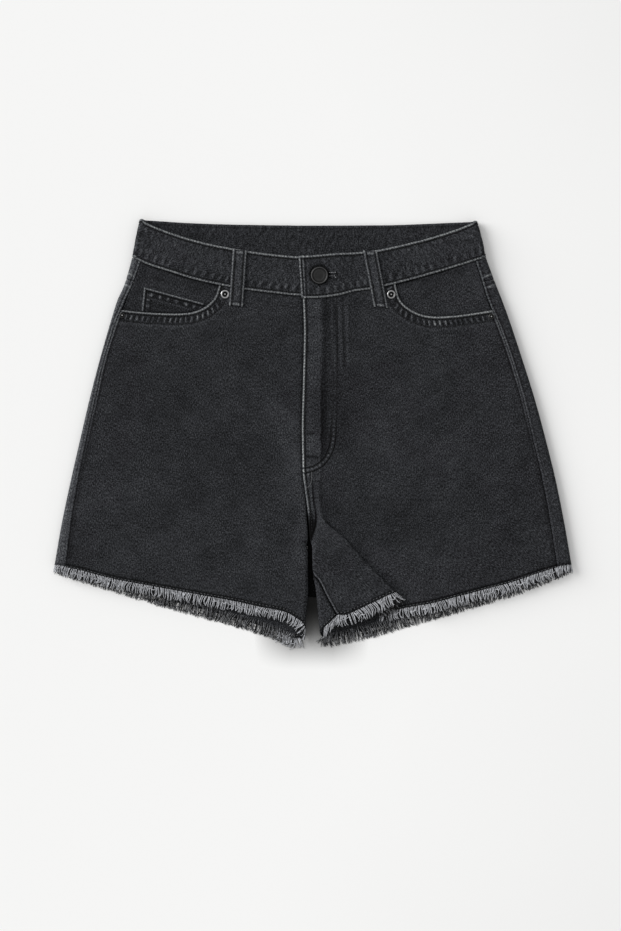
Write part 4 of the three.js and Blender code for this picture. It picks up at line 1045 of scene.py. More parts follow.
def surface(grid, thickness):
    """Finds the top of a cloth under plan points."""
    rows, columns = grid.shape[:2]
    index = np.arange(rows * columns).reshape(rows, columns)
    quads = np.stack([index[:-1, :-1], index[:-1, 1:], index[1:, 1:], index[1:, :-1]], axis=-1)
    tree = BVHTree.FromPolygons(grid.reshape(-1, 3).tolist(), quads.reshape(-1, 4).tolist())

    def top(x, y):
        line, normals = [], []
        for px, py in zip(np.ravel(x), np.ravel(y)):
            place, normal, _, _ = tree.ray_cast(Vector((px, py, 60)), Vector((0, 0, -1)))
            if place is not None:
                up = np.array(normal) * (1 if normal.z > 0 else -1)
                line.append(np.array(place) + up * thickness / 2)
                normals.append(up)
        return line, normals

    return top


def sewing_row(seam, offset, top, pitch=3.2, start=0.0, end=None):
    """Stitches beside a seam, on the cloth that top() finds."""
    place = np.arange(start, seam.total if end is None else end, 1.6)
    line, normals = top(*seam.at(place, offset))
    return stitches(line, normals, pitch) if len(line) > 1 else []


def laid(top, x, y, lift):
    """Points just above the cloth that top() finds, as one thread."""
    line, normals = top(x, y)
    line = np.array(line) + np.array(normals) * lift
    return line, [0.5, *[1.0] * (len(line) - 2), 0.5]


# Cloth pieces, and the lines that their features follow
scoops = {side: Seam(plane_curve(POCKET[side])(np.linspace(0, 1, 90))) for side in (-1, 1)}
side_seams = {
    side: Seam([(float(side_seam_x(side, y)), y) for y in np.linspace(182, -137, 90)]) for side in (-1, 1)
}
fly_edge = Seam([(float(centre_x(y)), y) for y in np.linspace(144, -106, 90)])
J_STITCH = [
    (22.6, 140), (22.4, 70), (21.4, 6), (19.4, -13),
    (13.6, -25.4), (7.2, -31.9), (0.5, -35.5), (-9, -37.9),
]
j_stitch = Seam(plane_curve(J_STITCH)(np.linspace(0, 1, 90)))
crotch_line = Seam([(-34, 20), (-24, -14), (-12, -44), (-6, -80), (-9, -125)])
ridge_line = Seam([(row[6], row[7]) for row in FRONT_RIGHT[6:]])
# y, right edge of the painted shade on the cloth that sinks into the slit between the legs
SLIT_SHADE_EDGE = [
    (-50, -0.6), (-61, 0.0), (-69, 0.6), (-77, 2.0), (-85, 3.2), (-93, 3.0), (-100, 0.9),
    (-106, -0.5), (-112, -1.4),
]
slit_shade_edge = column(*zip(*SLIT_SHADE_EDGE))
yoke_line = Seam([(x, float(yoke_seam(x))) for x in np.linspace(-200, 200, 80)])

# Broad lighter and darker patches, some of them painted shade: x, y, half width, half height, level
TONE_AND_SHADE_PATCHES = [
    (3, 28, 8, 30, -16), (33, 35, 22, 62, -6), (-168, 35, 34, 26, -5), (-98, -22, 40, 34, -4),
    (-116, 92, 34, 18, -3), (90, -92, 26, 30, -7), (-34, -130, 30, 30, 4), (28, -160, 20, 14, 4),
    (213, -68, 34, 36, -3), (165, 30, 40, 26, -2), (-199, -66, 30, 30, 2), (60, -10, 20, 34, 3),
]


def hem_of(grid, start, end):
    """The last row of a panel, the way out of its hem, and along it."""
    hem, before = grid[-1, start:end], grid[-4, start:end]
    along = np.gradient(hem, axis=0)
    along /= np.linalg.norm(along, axis=1, keepdims=True)
    out = hem - before
    out -= along * np.sum(out * along, axis=1, keepdims=True)
    out[:, 2] *= 0.3
    return hem, out / np.linalg.norm(out, axis=1, keepdims=True), along


LET_DOWN_FROM = 60


def let_down(grid, reach):
    """The panel with its hem let down by a reach at every column, eased in above."""
    share = 1 - smooth(0, LET_DOWN_FROM, from_edges(grid)[3])
    return grid + (share * reach)[..., None] * hem_of(grid, 0, None)[1]


def front_relief(side, grid, on_top):
    """Height, worn marks with painted light and shade, and worn edges of a front panel. on_top is 1 where
    it is its upper layer.
    """
    x, y = grid[..., 0], grid[..., 1]
    height = 0.06 * ripple(x, y, 3 + side, 16, 60)
    wear_and_shading = 2.0 * ripple(x, y, 21 + side, 18, 90)
    # Scooped pocket edge
    d, along, _ = scoops[side].near(x, y)
    scoop = (d, along, 1.0 * on_top)
    ridges = puckers(along, d, 5.4, 1.3 + side, 0.35)
    between = window(d, 4.2, 9.2) * on_top
    height += (0.3 * bell(d, 1.0, 1.0) - 0.2 * bell(d, 10.6, 0.8)) * on_top
    height += 0.24 * between * ridges
    wear_and_shading += between * (112 * np.maximum(ridges, 0) ** 1.6 - 17) - 16 * bell(d, 10.7, 0.9) * on_top
    wear_and_shading += 14 * bell(d, 12.8, 1.4) * on_top
    # Side seam
    d, along, _ = side_seams[side].near(x, y)
    seam = (d, along, lerp(0.1, 0.5, smooth(-60, 90, y)) * on_top)
    ridges = puckers(along, d, 8.0, 4.1 + side, 0.3)
    height += on_top * (0.2 * bell(d, 1.0, 1.0) + 0.12 * window(d, 2, 7) * ridges)
    wear_and_shading += on_top * (5 * window(d, 2, 7) * ridges - 6 * bell(d, 3.0, 1.5))
    wear_and_shading -= on_top * 24 * bell(d, 0.5, 1.2) * (1 - smooth(-60, 90, y))
    # Waist seam, with painted shade just under the band's edge
    below = waist_seam(x) - y
    ridges = puckers(x, below, 9.0, 0.7 + side, 0.5)
    height += 0.16 * window(below, 2.5, 11, 2.5) * ridges - 0.3 * bell(below, 0.3, 1.3)
    wear_and_shading += 6 * window(below, 2.5, 11, 2.5) * ridges - 24 * bell(below, 0.2, 1.3)
    # Hem
    d = from_edges(grid)[3]
    height += 0.1 * puckers(x, d, 6.0, 2.0) * bell(d, 6.0, 3.0) - 0.3 * bell(d, 2.4, 1.0)
    wear_and_shading -= 36 * bell(d, 0.9, 1.0) + 30 * bell(d, 3.7, 1.1)
    # Painted highlight along the fold from the fly to the crotch, and broad lighter and darker patches,
    # some of them painted shade, as right of the flap
    d, _, _ = crotch_line.near(x, y)
    wear_and_shading += 8 * bell(d, 4.0, 7.5)
    for at_x, at_y, half_x, half_y, level in TONE_AND_SHADE_PATCHES:
        wear_and_shading += level * np.exp(-(((x - at_x) / half_x) ** 2) - ((y - at_y) / half_y) ** 2)
    return height, wear_and_shading, [scoop, seam]


def dressed_left():
    grid = front_left()
    hem_x = grid[-1, :, 0]
    grid = let_down(grid, 1 + 3 * smooth(-250, -195, hem_x) - 4 * smooth(-60, -12, hem_x))
    height, wear_and_shading, edges = front_relief(-1, grid, 1.0)
    x, y = grid[..., 0], grid[..., 1]
    # Painted shade on the left front beside the fly edge, under the right front that lies over it
    d, _, _ = fly_edge.near(x, y)
    wear_and_shading -= 9 * bell(d, 0.0, 3.0) + 16 * bell(d, 0.7, 1.1)
    wear_and_shading += 7 * bell(np.hypot((x + 19) / 1.2, (y + 52) / 2.2), 0, 11)
    return cloth("front_left", grid, CLOTH, FRONT_DENIM, height, wear_and_shading, nearest_edge(*edges))


LOW_END = len(POCKET_SHARES) + len(PANEL_SHARES) - 1
FLAP_START = LOW_END + 2 * PLEAT_TURN + PLEAT_SPAN
FAR = 99.0
INNER_EDGE_TOP = -139


def dressed_right():
    grid = front_right()
    hem_x = grid[-1, :, 0]
    columns = np.arange(len(hem_x))
    reach = 4 * smooth(64, 88, hem_x) - 3 * smooth(195, 250, hem_x)
    grid = let_down(grid, (columns < LOW_END) * reach)
    x, y = grid[..., 0], grid[..., 1]
    on_low = np.broadcast_to(columns < LOW_END, x.shape) * 1.0
    on_flap = np.broadcast_to(columns >= FLAP_START - 2, x.shape) * 1.0
    height, wear_and_shading, edges = front_relief(1, grid, on_low)
    # Edge of the fly, and the leg's inner edge below it
    d, along, _ = fly_edge.near(x, y)
    worn = lerp(0.55, 1.0, smooth(-60, -36, y)) * smooth(-93, -76, y)
    edges.append((np.where(on_flap > 0, d, FAR), along, on_flap * worn))
    height += on_flap * 0.35 * bell(d, 1.0, 0.9)
    edges.append((np.where(y < INNER_EDGE_TOP, from_edges(grid)[1], FAR), y, 0.42 * on_flap))
    # Painted shade, near black, where the cloth sinks into the slit, with a thread beside it
    slit_shade_x, below_fly = slit_shade_edge(y), window(y, -104, -50, 4) * on_flap
    wear_and_shading += 24 * below_fly * bell(x, slit_shade_x - 1.9, 0.8) * (0.6 + 0.4 * np.sin(y * 2.1))
    wear_and_shading -= 40 * below_fly * bell(x, slit_shade_x, 0.9)
    wear_and_shading -= 22 * bell(d, 2.7, 0.8) * window(y, -94, -40, 3) * on_flap
    in_slit_shade = (1 - smooth(-0.7, 0.5, x - slit_shade_x)) * smooth(-113, -108, y) * (1 - smooth(-94, -74, y))
    wear_and_shading -= 50 * in_slit_shade * on_flap
    # Tab under the fly
    wear_and_shading += 30 * bell(x, -4.9, 0.9) * window(y, -47, -38, 1) * (0.6 + 0.4 * np.sin(y * 2.6)) * on_flap
    wear_and_shading -= 20 * bell(x, -2.9, 0.7) * window(y, -50, -38, 1) * on_flap
    wear_and_shading += 8 * bell(x, 9.5, 3.5) * window(y, -92, -34, 8)
    # Painted light beside the flap's ridge to lift its shade, then the fly's lighter raised band with
    # painted shade in its valley and along its fold, its two bars, and painted light and shade on the folds
    # beside its top
    d, _, _ = ridge_line.near(x, y)
    wear_and_shading += 13 * on_low * bell(d, 1.2, 2.4)
    fly = window(y, -20, 138, 6)
    wear_and_shading += fly * (7 * window(x, -5, 7.5, 1.5) - 9 * bell(x, 12.5, 4.0))
    wobble = x - 8.9 - 0.5 * np.sin(y * 0.35)
    wear_and_shading -= 20 * bell(wobble, 0, 1.0) * window(y, -26, 60, 8)
    wear_and_shading -= 32 * bell(y, -23.7, 1.2) * window(x, -7, 5.5, 0.8)
    wear_and_shading -= 26 * bell(y, 0.8, 1.4) * window(x, -6.5, 0.8, 0.8)
    folds = window(y, 70, 134, 9) * window(x, 17, 38, 3)
    folds = folds * np.sin((x + 0.03 * y) * 2 * math.pi / 7.3)
    height += 0.16 * folds
    wear_and_shading += 12 * folds
    # Curved stitching of the fly
    d, along, turned_to = j_stitch.near(x, y)
    lower = 1 - smooth(-6, 22, y)
    row = points(d * turned_to * 0.75, along, (0.12 + 0.88 * lower) * (d < 7))
    height -= 0.1 * lower * bell(d, 1.8, 0.9)
    # Shade beside the pleat
    wear_and_shading -= 7 * bell((x - 50 + (y + 132) * 0.83), 14, 18) * on_low * smooth(-110, -70, y)
    wear_and_shading += 5 * on_flap * smooth(-120, -90, y)
    return cloth("front_right", grid, CLOTH, FRONT_DENIM, height, wear_and_shading, nearest_edge(*edges), row)


# Painted light on the side strips: the left one, which faces the lamp, is painted much lighter than the
# right
STRIP_PAINTED_LIGHT = {-1: 28, 1: 1}


def back_side(side, grid):
    """Height, tone and worn edge of a back panel or yoke, whose strip is seen at the side; the left strip's
    tone holds painted light.
    """
    x, y = grid[..., 0], grid[..., 1]
    d = from_edges(grid)[1]
    ridges = puckers(y, d, 8.0, 5.2 + side, 0.3)
    height = 0.25 * bell(d, 1.0, 1.0) + 0.12 * window(d, 2.5, 8) * ridges
    wear_and_shading = 2.0 * ripple(x, y, 40 + side, 14, 60) + 5 * window(d, 2.5, 8) * ridges
    crossing, _, _ = yoke_line.near(x, y)
    wear_and_shading += (58 * bell(crossing, 5.6, 0.9) - 16 * bell(crossing, 3.4, 0.9)) * window(d, 1.5, 13, 1)
    # Side strip painted lighter on the left, for the light falling on it
    wear_and_shading += STRIP_PAINTED_LIGHT[side] * window(d, 2, 14, 2)
    return height, wear_and_shading, (d, y, lerp(0.16, 0.5, smooth(-40, 90, y)))


front_left_piece, front_left_grid = dressed_left()
front_right_piece, front_right_grid = dressed_right()
on_left, on_right = surface(front_left_grid, CLOTH), surface(front_right_grid, CLOTH)

HANDS = ((-1, "left"), (1, "right"))
back_grids, back_pieces, yoke_pieces = {}, {}, {}
for side, word in HANDS:
    grid = back_panel(side)
    height, wear_and_shading, edge = back_side(side, grid)
    x, y = grid[..., 0], grid[..., 1]
    across, _, _, from_hem = from_edges(grid)
    wear_and_shading -= 27 * bell(from_hem, 1.9, 1.9)
    # Painted shade on the back panels where they show in the slit between the legs
    wear_and_shading -= 44 * bell(x, -3.5, 6.0) * window(y, -126, -82, 4)
    # Painted shadow along the right leg's inner edge below the crotch
    wear_and_shading -= 30 * bell(across, 0.2, 1.4) * (y < INNER_EDGE_TOP) * (side > 0)
    back_pieces[side], back_grids[side] = cloth(
        f"back_{word}", grid, CLOTH, SIDE_DENIM, -height, wear_and_shading, nearest_edge(edge)
    )
    grid = yoke(side)
    height, wear_and_shading, edge = back_side(side, grid)
    yoke_pieces[side], _ = cloth(
        f"yoke_{word}", grid, CLOTH, SIDE_DENIM, -height * 0.6, wear_and_shading, nearest_edge(edge)
    )
crotch_piece, _ = cloth("crotch", crotch(), CLOTH, SHADED_DENIM)

# Waistband
# The button sits a little to the right of its solid and below it, as the photograph shows
BUTTON_SHIFT = (0.7, -2.3)
BUTTON_AT = (6.6, 163.5)
grid = waistband()
x, y = grid[..., 0], grid[..., 1]
across, from_end, from_top, from_seam = from_edges(grid)
on_front = smooth(BAND_BACK_Z + 1, BAND_FRONT_Z - 1, grid[..., 2])
ridges = puckers(across, from_seam, 8.6, 3.3, 0.42)
above_seam = window(from_seam, 4.4, 10.5, 1.6) * on_front
height = 0.3 * bell(np.minimum(from_top, from_seam), 1.0, 1.0) + 0.26 * above_seam * ridges
height += 0.1 * ripple(across, from_top, 50, 9, 30)
# The back band, seen inside the waist opening, is painted 5 levels darker as shade
wear_and_shading = above_seam * (44 * np.maximum(ridges, 0) ** 1.3 - 11) - 5 * (1 - on_front)
wear_and_shading += 4 * ripple(across * 1.8, from_top * 0.6, 51, 7, 30)
ridges = puckers(across, from_top, 8.0, 1.9, -0.3)
wear_and_shading += on_front * window(from_top, 4, 8, 1.2) * 9 * ridges
# Lines inside the lapped end, painted shade in the buttonhole's slit with a dark line below it, and the
# painted shade round the button
inner_line = lerp(4.4, 3.4, from_top / from_top[-1:])
wear_and_shading += 58 * bell(from_end, inner_line, 0.8) - 20 * bell(from_end, inner_line + 1.9, 0.8)
wear_and_shading += 12 * bell(from_end, inner_line + 4.2, 0.9)
hole = window(x, 15.5, 24, 0.8) * on_front
wear_and_shading -= (22 * bell(y, 163.8, 0.8) + 16 * bell(y, 160.3, 0.9)) * hole
wear_and_shading -= 36 * bell(np.hypot(x - BUTTON_AT[0], y - BUTTON_AT[1]), 9.7, 1.0) * on_front
edge = nearest_edge(
    (from_top, across, lerp(0.12, 0.95, on_front)),
    (from_seam, across + 1.1, lerp(0.12, 0.85, on_front)),
    (from_end, from_top, 0.8),
)
band_piece, band_grid = cloth("waistband", grid, BAND, BAND_DENIM, height, wear_and_shading, edge, rim=0.62)
on_band = surface(band_grid, BAND)

# Pocket facings, coin pocket and fly shield
facing_pieces = {}
for side, word in HANDS:
    grid = pocket_facing(side)
    x, y = grid[..., 0], grid[..., 1]
    below = waist_seam(x) - y
    d, _, _ = scoops[side].near(x, y)
    height = 0.08 * ripple(x, y, 60 + side, 10, 40)
    wear_and_shading = 1.5 + 1.5 * side + 2.0 * ripple(x, y, 62 + side, 10, 50)
    # Painted shade on the facing under the pocket's scooped edge and just under the waist seam
    wear_and_shading -= 8 * bell(d, 0, 2.5) + 18 * bell(below, 0.6, 1.6)
    facing_pieces[side], _ = cloth(f"pocket_facing_{word}", grid, CLOTH, FACING_DENIM, height, wear_and_shading)

grid = coin_pocket()
across, _, down, _ = from_edges(grid)
inner_top = window(across, 8, 50, 1.5)
blobs = window(down, 4.2, 7.6, 0.8) * np.maximum(puckers(across, down, 8.4, 0.4, 0.1), 0)
side_blobs = window(across, 3.8, 7.0, 0.8) * np.maximum(puckers(down, across, 5.6, 2.2, 0.1), 0)
wear_and_shading = 82 * blobs * window(across, 3, 60, 1) + 66 * side_blobs * window(down, 2.5, 60, 1)
wear_and_shading += (20 * bell(down, 9.6, 0.9) - 11 * bell(down, 8.3, 0.8)) * inner_top
wear_and_shading -= 8 + 9 * window(down, 3, 8) * window(across, 3, 60)
wear_and_shading -= 14 * bell(across, 8.2, 0.9) * window(down, 8, 60)
height = 0.2 * bell(np.minimum(down, across), 1.0, 1.0) + 0.2 * (blobs + side_blobs)
edge = nearest_edge((down, across, 0.85), (across, down, 0.8))
coin_piece, _ = cloth("coin_pocket", grid, COIN["cloth"], FRONT_DENIM, height, wear_and_shading, edge)
shield_piece, _ = cloth("fly_shield", fly_shield(), CLOTH, FACING_DENIM, wear_and_shading=-6.0)

# Belt loops
loop_pieces, loop_tops = [], {}
for kind, loops in (("front", FRONT_LOOPS), ("back", BACK_LOOPS)):
    for word, place in loops.items():
        grid = front_loop(*place) if kind == "front" else back_loop(place)
        across, to_side, down, to_foot = from_edges(grid)
        d, ends = np.minimum(across, to_side), np.minimum(down, to_foot)
        slant = np.sin(2 * math.pi * (down + across * 0.6) / 3.6)
        middle = window(across, 4.2, 10.2, 0.8)
        bar = bell(ends, 2.4, 1.2) * window(across, 3.4, 11, 0.8)
        height = 0.25 * bell(d, 1.0, 0.9) + 0.1 * middle + 0.05 * slant * middle + 0.25 * bar
        wear_and_shading = middle * (9 + 7 * slant) * (1 - bell(ends, 3, 2.5)) + 62 * bar
        wear_and_shading -= 16 * (bell(ends, 4.8, 0.9) + bell(ends, 0.3, 0.8)) * window(across, 3.0, 11.4, 0.6)
        wear_and_shading += 30 * bell(ends, 1.6, 1.6) * bell(d, 1.0, 1.3)
        flip = 1 if kind == "front" else -1
        piece, shaped = cloth(
            f"belt_loop_{kind}_{word}", grid, LOOP_CLOTH, BAND_DENIM, flip * height * 0.7, wear_and_shading,
            nearest_edge((d, down, 0.66)), rim=0.6,
        )
        loop_pieces.append(piece)
        if kind == "front":
            loop_tops[word] = surface(shaped, LOOP_CLOTH)

# Stitch rows, by their distance from the edge
POCKET_ROWS = (2.9, 10.6)
EDGE_ROW = 2.9
HEM_ROW = 2.2
LOOP_ROW = 4.3
J_ROW = 1.8
sewing, hem_sewing, pale_sewing = [], [], []
for side, top in ((-1, on_left), (1, on_right)):
    for offset in POCKET_ROWS:
        sewing += sewing_row(scoops[side], side * offset, top)
for word, ((x0, y0), (x1, y1)) in FRONT_LOOPS.items():
    middle = Seam([(x0, y0), (x1, y1)])
    for offset in (-LOOP_ROW, LOOP_ROW):
        sewing += sewing_row(middle, offset, loop_tops[word], 2.8, 2.0, middle.total - 2.0)
sewing += sewing_row(fly_edge, EDGE_ROW, on_right, 3.0, 1.0, 246)
for offset in (-J_ROW, J_ROW):
    sewing += sewing_row(j_stitch, offset, on_right, 3.0, 2.0)
band_normals = normals_of(band_grid)
rows_down = lengths(band_grid, 0)[:, 0]
for at in (EDGE_ROW, rows_down[-1] - EDGE_ROW):
    k = int(np.argmin(abs(rows_down - at)))
    for face in (-1, 1):
        normal = band_normals[k] * face
        sewing += stitches(band_grid[k] + normal * BAND / 2, normal)
for grid in (front_left_grid, front_right_grid, back_grids[-1], back_grids[1]):
    from_hem = from_edges(grid)[3][:, grid.shape[1] // 2]
    k = int(np.argmin(abs(from_hem - HEM_ROW)))
    for face in (-1, 1):
        normal = normals_of(grid)[k] * face
        hem_sewing += stitches(grid[k] + normal * CLOTH / 2, normal, 3.6, 0.5)

# Bars, the tab under the fly and the buttonhole
tab = [(-1.2, -38.6), (-1.3, -44.0), (-1.9, -49.5), (-3.6, -53.2), (-5.4, -54.8), (-7.0, -55.2)]
tab_line = plane_curve(tab)(np.linspace(0, 1, 24))
hem_sewing.append(laid(on_right, tab_line[:, 0], tab_line[:, 1], 0.1))
for y in (165.7, 162.3):
    for x in (16.6, 18.8, 21.0):
        pale_sewing.append(laid(on_band, np.linspace(x, x + 1.4, 4), np.full(4, y), 0.25))
for y in (166.6, 161.4):
    pale_sewing.append(laid(on_band, np.linspace(22.6, 23.4, 3), np.linspace(y, y - 1.0, 3), 0.25))
sewing_piece = threads("sewing", sewing, SEWING_RADIUS, SEWING)
hem_sewing_piece = threads("hem_sewing", hem_sewing, HEM_SEWING_RADIUS, HEM_SEWING)
pale_sewing_piece = threads("rubbed_sewing", pale_sewing, RUBBED_RADIUS, PALE_SEWING)

# Frayed hems
FRAY_RADIUS = 0.5
FRAY_TAPER = np.array([1, 1, 1, 1, 0.95, 0.85, 0.7, 0.4])


def fray_layer(hem, out, along, seed, pitch, long, swing, raised, droop, fan, start=0.08):
    """One layer of loose threads that lean on each other in bunches."""
    draw = np.random.default_rng(seed)
    length = run_length(hem)
    total = length[-1]
    lines = []
    for at in np.arange(0.2, total, pitch):
        at += draw.normal(0, 0.18 * pitch)
        root, way, aside = (read_at(at, length, values) for values in (hem, out, along))
        way += aside * (fan[0] * (1 - smooth(0, 9, at)) + fan[1] * smooth(total - 9, total, at))
        way /= np.linalg.norm(way)
        reach = long * draw.uniform(0.84, 1.05)
        lean = 0.75 * math.sin(at * 0.09 + seed) + 0.4 * math.sin(at * 0.31 + 2 * seed)
        lean += draw.normal(0, 0.2)
        curl = draw.normal(0, 0.25) - 0.9 * lean
        t = np.linspace(0, 1, 8)
        sideways = swing * (lean * t + curl * t**3) * reach * 0.5
        sideways += 0.25 * np.sin(t * draw.uniform(5, 9) + draw.uniform(0, 6.28)) * t
        outward = (t - start) * reach * (1 - 0.1 * lean * lean)
        rise = raised + draw.uniform(0, 0.6) * np.sin(t * math.pi) - droop * t * t
        line = root + np.outer(outward, way) + np.outer(sideways, aside)
        line[:, 2] += rise
        lines.append((line, (draw.uniform(0.75, 1.2) * FRAY_TAPER).tolist()))
    for _ in range(int(total / 10)):
        at = draw.uniform(2, total - 2) + np.linspace(-1, 1, 7) * draw.uniform(2, 5)
        depth = draw.uniform(0.1, 0.5) * long + 0.8 * np.sin(at * 1.1)
        line = read_at(at, length, hem) + read_at(at, length, out) * depth[:, None]
        line[:, 2] += raised + draw.uniform(0.1, 0.5)
        lines.append((line, [0.6, 0.9, 1, 1, 1, 0.9, 0.6]))
    return lines


def fray(name, hem, over, seed, long=11.2, deep=0.96, fan=(0.0, 0.0), start=0.08, pitch=1.6):
    """A frayed hem: a close dark layer, deep times as long, and paler threads over it."""
    node = f"fringe_{name}"
    droop = 0.5 + 6 * (deep - 0.96)
    low = fray_layer(*hem, seed, 0.85, long * deep, 0.8, -0.25, droop, fan, start)
    high = fray_layer(*hem, seed + 50, pitch, long, 1.0, 0.3, 0.5, fan, start)
    return [
        threads(f"{node}_under", low, UNDER_RADIUS, FRAY_DARK, node),
        threads(f"{node}_threads", high, FRAY_RADIUS, over, node),
    ]


TURN_END = LOW_END - 1 + PLEAT_TURN
SIDE_TURN = len(TURN_SHARES) + len(STRIP_SHARES)
left_hem = hem_of(front_left_grid, 0, -7)
low_hem = hem_of(front_right_grid, 0, LOW_END)
middle_hem = hem_of(front_right_grid, TURN_END, TURN_END + PLEAT_SPAN + 2)
flap_hem = hem_of(front_right_grid, FLAP_START - 5, None)
back_hems = hem_of(back_grids[-1], 18, -SIDE_TURN), hem_of(back_grids[1], 20, -SIDE_TURN)
inseam, _, along_inseam = hem_of(back_grids[1], 0, 7)
inseam_hem = inseam, np.tile([0, -1.0, 0], (7, 1)), along_inseam
fringes = {
    "front_left": fray("front_left", left_hem, FRAY_PALE, 5, fan=(0, 0.3)),
    "front_right": [
        *fray("front_right", low_hem, FRAY_PALE, 6),
        *fray("pleat_middle", middle_hem, FRAY_GREY, 7, 15.0),
        *fray("pleat_top", flap_hem, FRAY_PALE, 8, 13.4, deep=1.5, fan=(-1.2, 0)),
    ],
    "back_left": fray("back_left", back_hems[0], FRAY_GREY, 9, 15.5, start=0.36, pitch=2.1),
    "back_right": fray("back_right", back_hems[1], FRAY_GREY, 10, 16.0, start=0.38, pitch=2.1),
}


def loose_threads(name, node, hem, seed, pitch, long, swing, fan):
    lines = fray_layer(*hem, seed, pitch, long, swing, 0.2, 0.5, (fan, 0))
    return threads(f"{node}_{name}", lines, FRAY_RADIUS, FRAY_PALE, node)


for side, word in HANDS:
    side_hem = hem_of(back_grids[side], -SIDE_TURN + 2, None)
    fringes[f"back_{word}"].append(
        loose_threads("side", f"fringe_back_{word}", side_hem, 30 + side, 1.5, 9.0, 1.0, -0.6)
    )
inner_hem = hem_of(back_grids[-1], 6, 30)
fringes["back_left"].append(loose_threads("inner", "fringe_back_left", inner_hem, 41, 1.7, 12.0, 2.2, -0.5))
fringes["back_right"] += fray("inseam_right", inseam_hem, FRAY_PALE, 11, 11.0)


# Back pockets under the shorts
def back_pocket(side, word):
    middle, top, bottom = side * BACK_POCKET["centre"], BACK_POCKET["top"], BACK_POCKET["bottom"]
    t, k = np.meshgrid(spread(138, 1.2, 3.0, 8), spread(128, 1.2, 3.0, 8) * 2 - 1, indexing="ij")
    half = lerp(BACK_POCKET["half_top"], BACK_POCKET["half_bottom"], t)
    foot = bottom + BACK_POCKET["point"] * abs(k)
    grid = points(middle + k * half, lerp(top, foot, t), BACK_POCKET["cloth"] / 2)
    d = np.minimum.reduce(from_edges(grid))
    edge = nearest_edge((d, grid[..., 0] + grid[..., 1], 0.7))
    height, wear_and_shading = -0.06 * bell(d, 1.0, 1.0), -14 * bell(d, 8.0, 0.9)
    thickness = BACK_POCKET["cloth"] * 0.8
    return cloth(f"back_pocket_{word}", grid, thickness, SIDE_DENIM, height, wear_and_shading, edge)[0]


pocket_pieces = [back_pocket(side, word) for side, word in HANDS]


# Metal
def turned(node, profile, finish, segments=48, shift=(0, 0)):
    """A round metal piece spun from its profile, on the place of its solid."""
    low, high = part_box(node)
    middle = (low.xy + high.xy) / 2 + Vector(shift) * MM
    work = bmesh.new()
    chain = [work.verts.new((r * MM, 0, z * MM)) for r, z in profile]
    edges = [work.edges.new(pair) for pair in zip(chain, chain[1:])]
    bmesh.ops.spin(
        work, geom=[*chain, *edges], axis=(0, 0, 1), cent=(0, 0, 0), steps=segments,
        angle=2 * math.pi, use_merge=True,
    )
    bmesh.ops.remove_doubles(work, verts=work.verts, dist=1e-6)
    bmesh.ops.recalc_face_normals(work, faces=work.faces)
    bmesh.ops.translate(work, verts=work.verts, vec=(*middle, low.z))
    data = mesh_of(f"{node}_metal", work)
    made = data.attributes.new("radius", "FLOAT", "POINT")
    made.data.foreach_set("value", [(v.co.xy - middle).length / MM for v in data.vertices])
    return own(f"{node}_metal", data, finish, node)


# Profiles from the middle of the underside to the middle of the face: radius, height
BUTTON = [
    (0, 0), (5.2, 0), (5.2, 1.0), (8.2, 1.0), (8.8, 1.2), (9.1, 1.7), (9.05, 2.3), (8.7, 2.75), (8.2, 2.98),
    (7.8, 2.98), (7.4, 2.8), (7.1, 2.55), (6.9, 2.42), (5.4, 2.36), (5.15, 2.46), (4.9, 2.36), (2.4, 2.3),
    (0, 2.28),
]
RIVET = [
    (0, 0), (4.4, 0), (4.5, 0.35), (4.35, 0.75), (3.95, 1.05), (3.45, 1.15), (3.0, 1.05), (2.6, 0.7),
    (2.2, 0.45), (1.5, 0.42), (1.25, 0.6), (1.1, 1.0), (0.8, 1.2), (0, 1.25),
]
SMALL_RIVET = [
    (0, 0), (2.85, 0), (2.9, 0.4), (2.6, 0.75), (2.1, 0.92), (1.4, 0.85), (0.9, 0.85),
    (0.6, 1.05), (0, 1.1),
]
turned("button", BUTTON, GUNMETAL, 64, BUTTON_SHIFT)
for word in ("left", "right"):
    turned(f"rivet_{word}", RIVET, AGED)
    turned(f"rivet_side_{word}", SMALL_RIVET, BLACK_METAL, 32)


# Camera, floor and light
CAMERA_AT = Vector((-2.6, -32.4, 2268))
LENS = 85
SENSOR = 36
FLOOR_LEVEL = 241.5
FLOOR_HALF = 3
FLOOR_DROP = 0.2
WORLD_LIGHT = 0.62
KEY_LIGHT = 3.75
KEY_SOFTNESS = 42
KEY_FROM = (0.851, -0.397, -0.342)

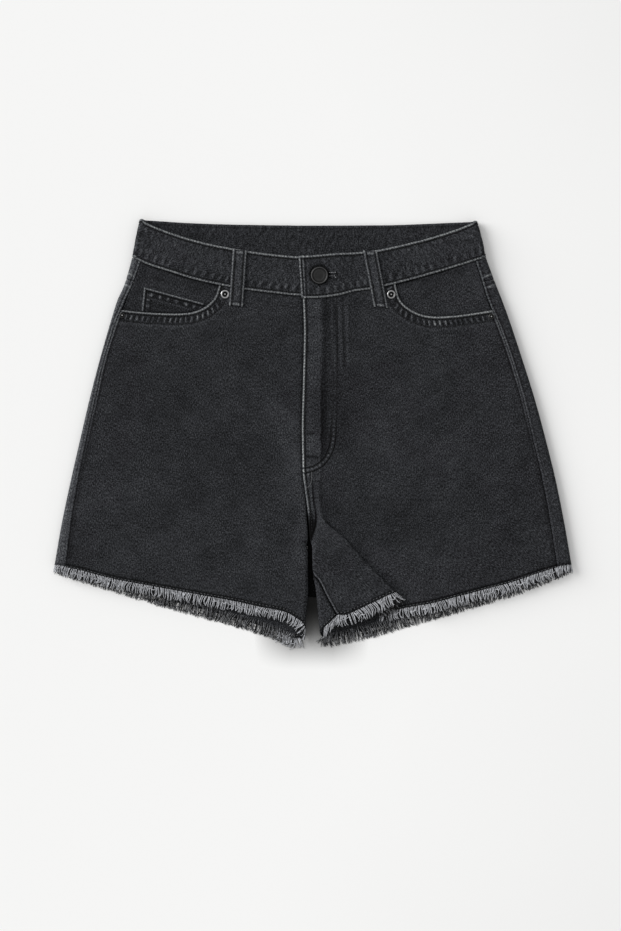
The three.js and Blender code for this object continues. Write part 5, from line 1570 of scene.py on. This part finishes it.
camera = bpy.data.objects.new("camera", bpy.data.cameras.new("camera"))
bpy.context.collection.objects.link(camera)
camera.location = CAMERA_AT * MM
camera.data.lens = LENS
camera.data.sensor_width = SENSOR
bpy.context.scene.camera = camera

floor_paint = Paint("pale_floor", Roughness=0.85, Specular_IOR_Level=0.1)
floor_place = floor_paint.object_place()
floor_x, floor_y, _ = floor_paint.split(floor_place)
# Painted fall-off of light on the floor: lighter on the left and through the middle, darker to the right
# and towards the top and bottom
floor_level = FLOOR_LEVEL + floor_paint.noise(floor_place, 3.0) * 1.5 - floor_x.limit(-0.4, 0.4) * 17
floor_level += floor_y.near(-0.03, 0.5) * 4
# Painted shadow on the floor between the legs, below the crotch
painted_shadow_between_legs = floor_paint.node(
    "ShaderNodeMapRange", {"interpolation_type": "SMOOTHSTEP"},
    {"Value": floor_y, "From Min": -0.248, "From Max": -0.176},
)
for axis, middle, reach, gain in ((floor_x, -0.002, 0.06, 1.6), (floor_y, -0.2, 0.09, 2)):
    painted_shadow_between_legs = painted_shadow_between_legs * (axis.near(middle, reach) * gain).limit()
floor_level = floor_level * (1 - painted_shadow_between_legs * 0.84)
work = bmesh.new()
bmesh.ops.create_grid(work, x_segments=4, y_segments=4, size=FLOOR_HALF)
bmesh.ops.translate(work, verts=work.verts, vec=(0, 0, -FLOOR_DROP * MM))
floor = bpy.data.objects.new("floor", mesh_of("floor", work))
floor.data.materials.append(
    floor_paint.finish(Base_Color=floor_paint.shade(floor_level, (1.0, 1.0, 0.992)))
)
bpy.context.collection.objects.link(floor)

world = bpy.data.worlds.new("studio")
bpy.context.scene.world = world
world.use_nodes = True
background = world.node_tree.nodes["Background"]
background.inputs["Color"].default_value = (1, 1, 1, 1)
background.inputs["Strength"].default_value = WORLD_LIGHT

key = bpy.data.objects.new("key", bpy.data.lights.new("key", "SUN"))
key.data.energy = KEY_LIGHT
key.data.angle = math.radians(KEY_SOFTNESS)
key.rotation_mode = "QUATERNION"
key.rotation_quaternion = Vector(KEY_FROM).to_track_quat("-Z", "Y")
bpy.context.collection.objects.link(key)
bpy.context.scene.view_settings.view_transform = "Standard"
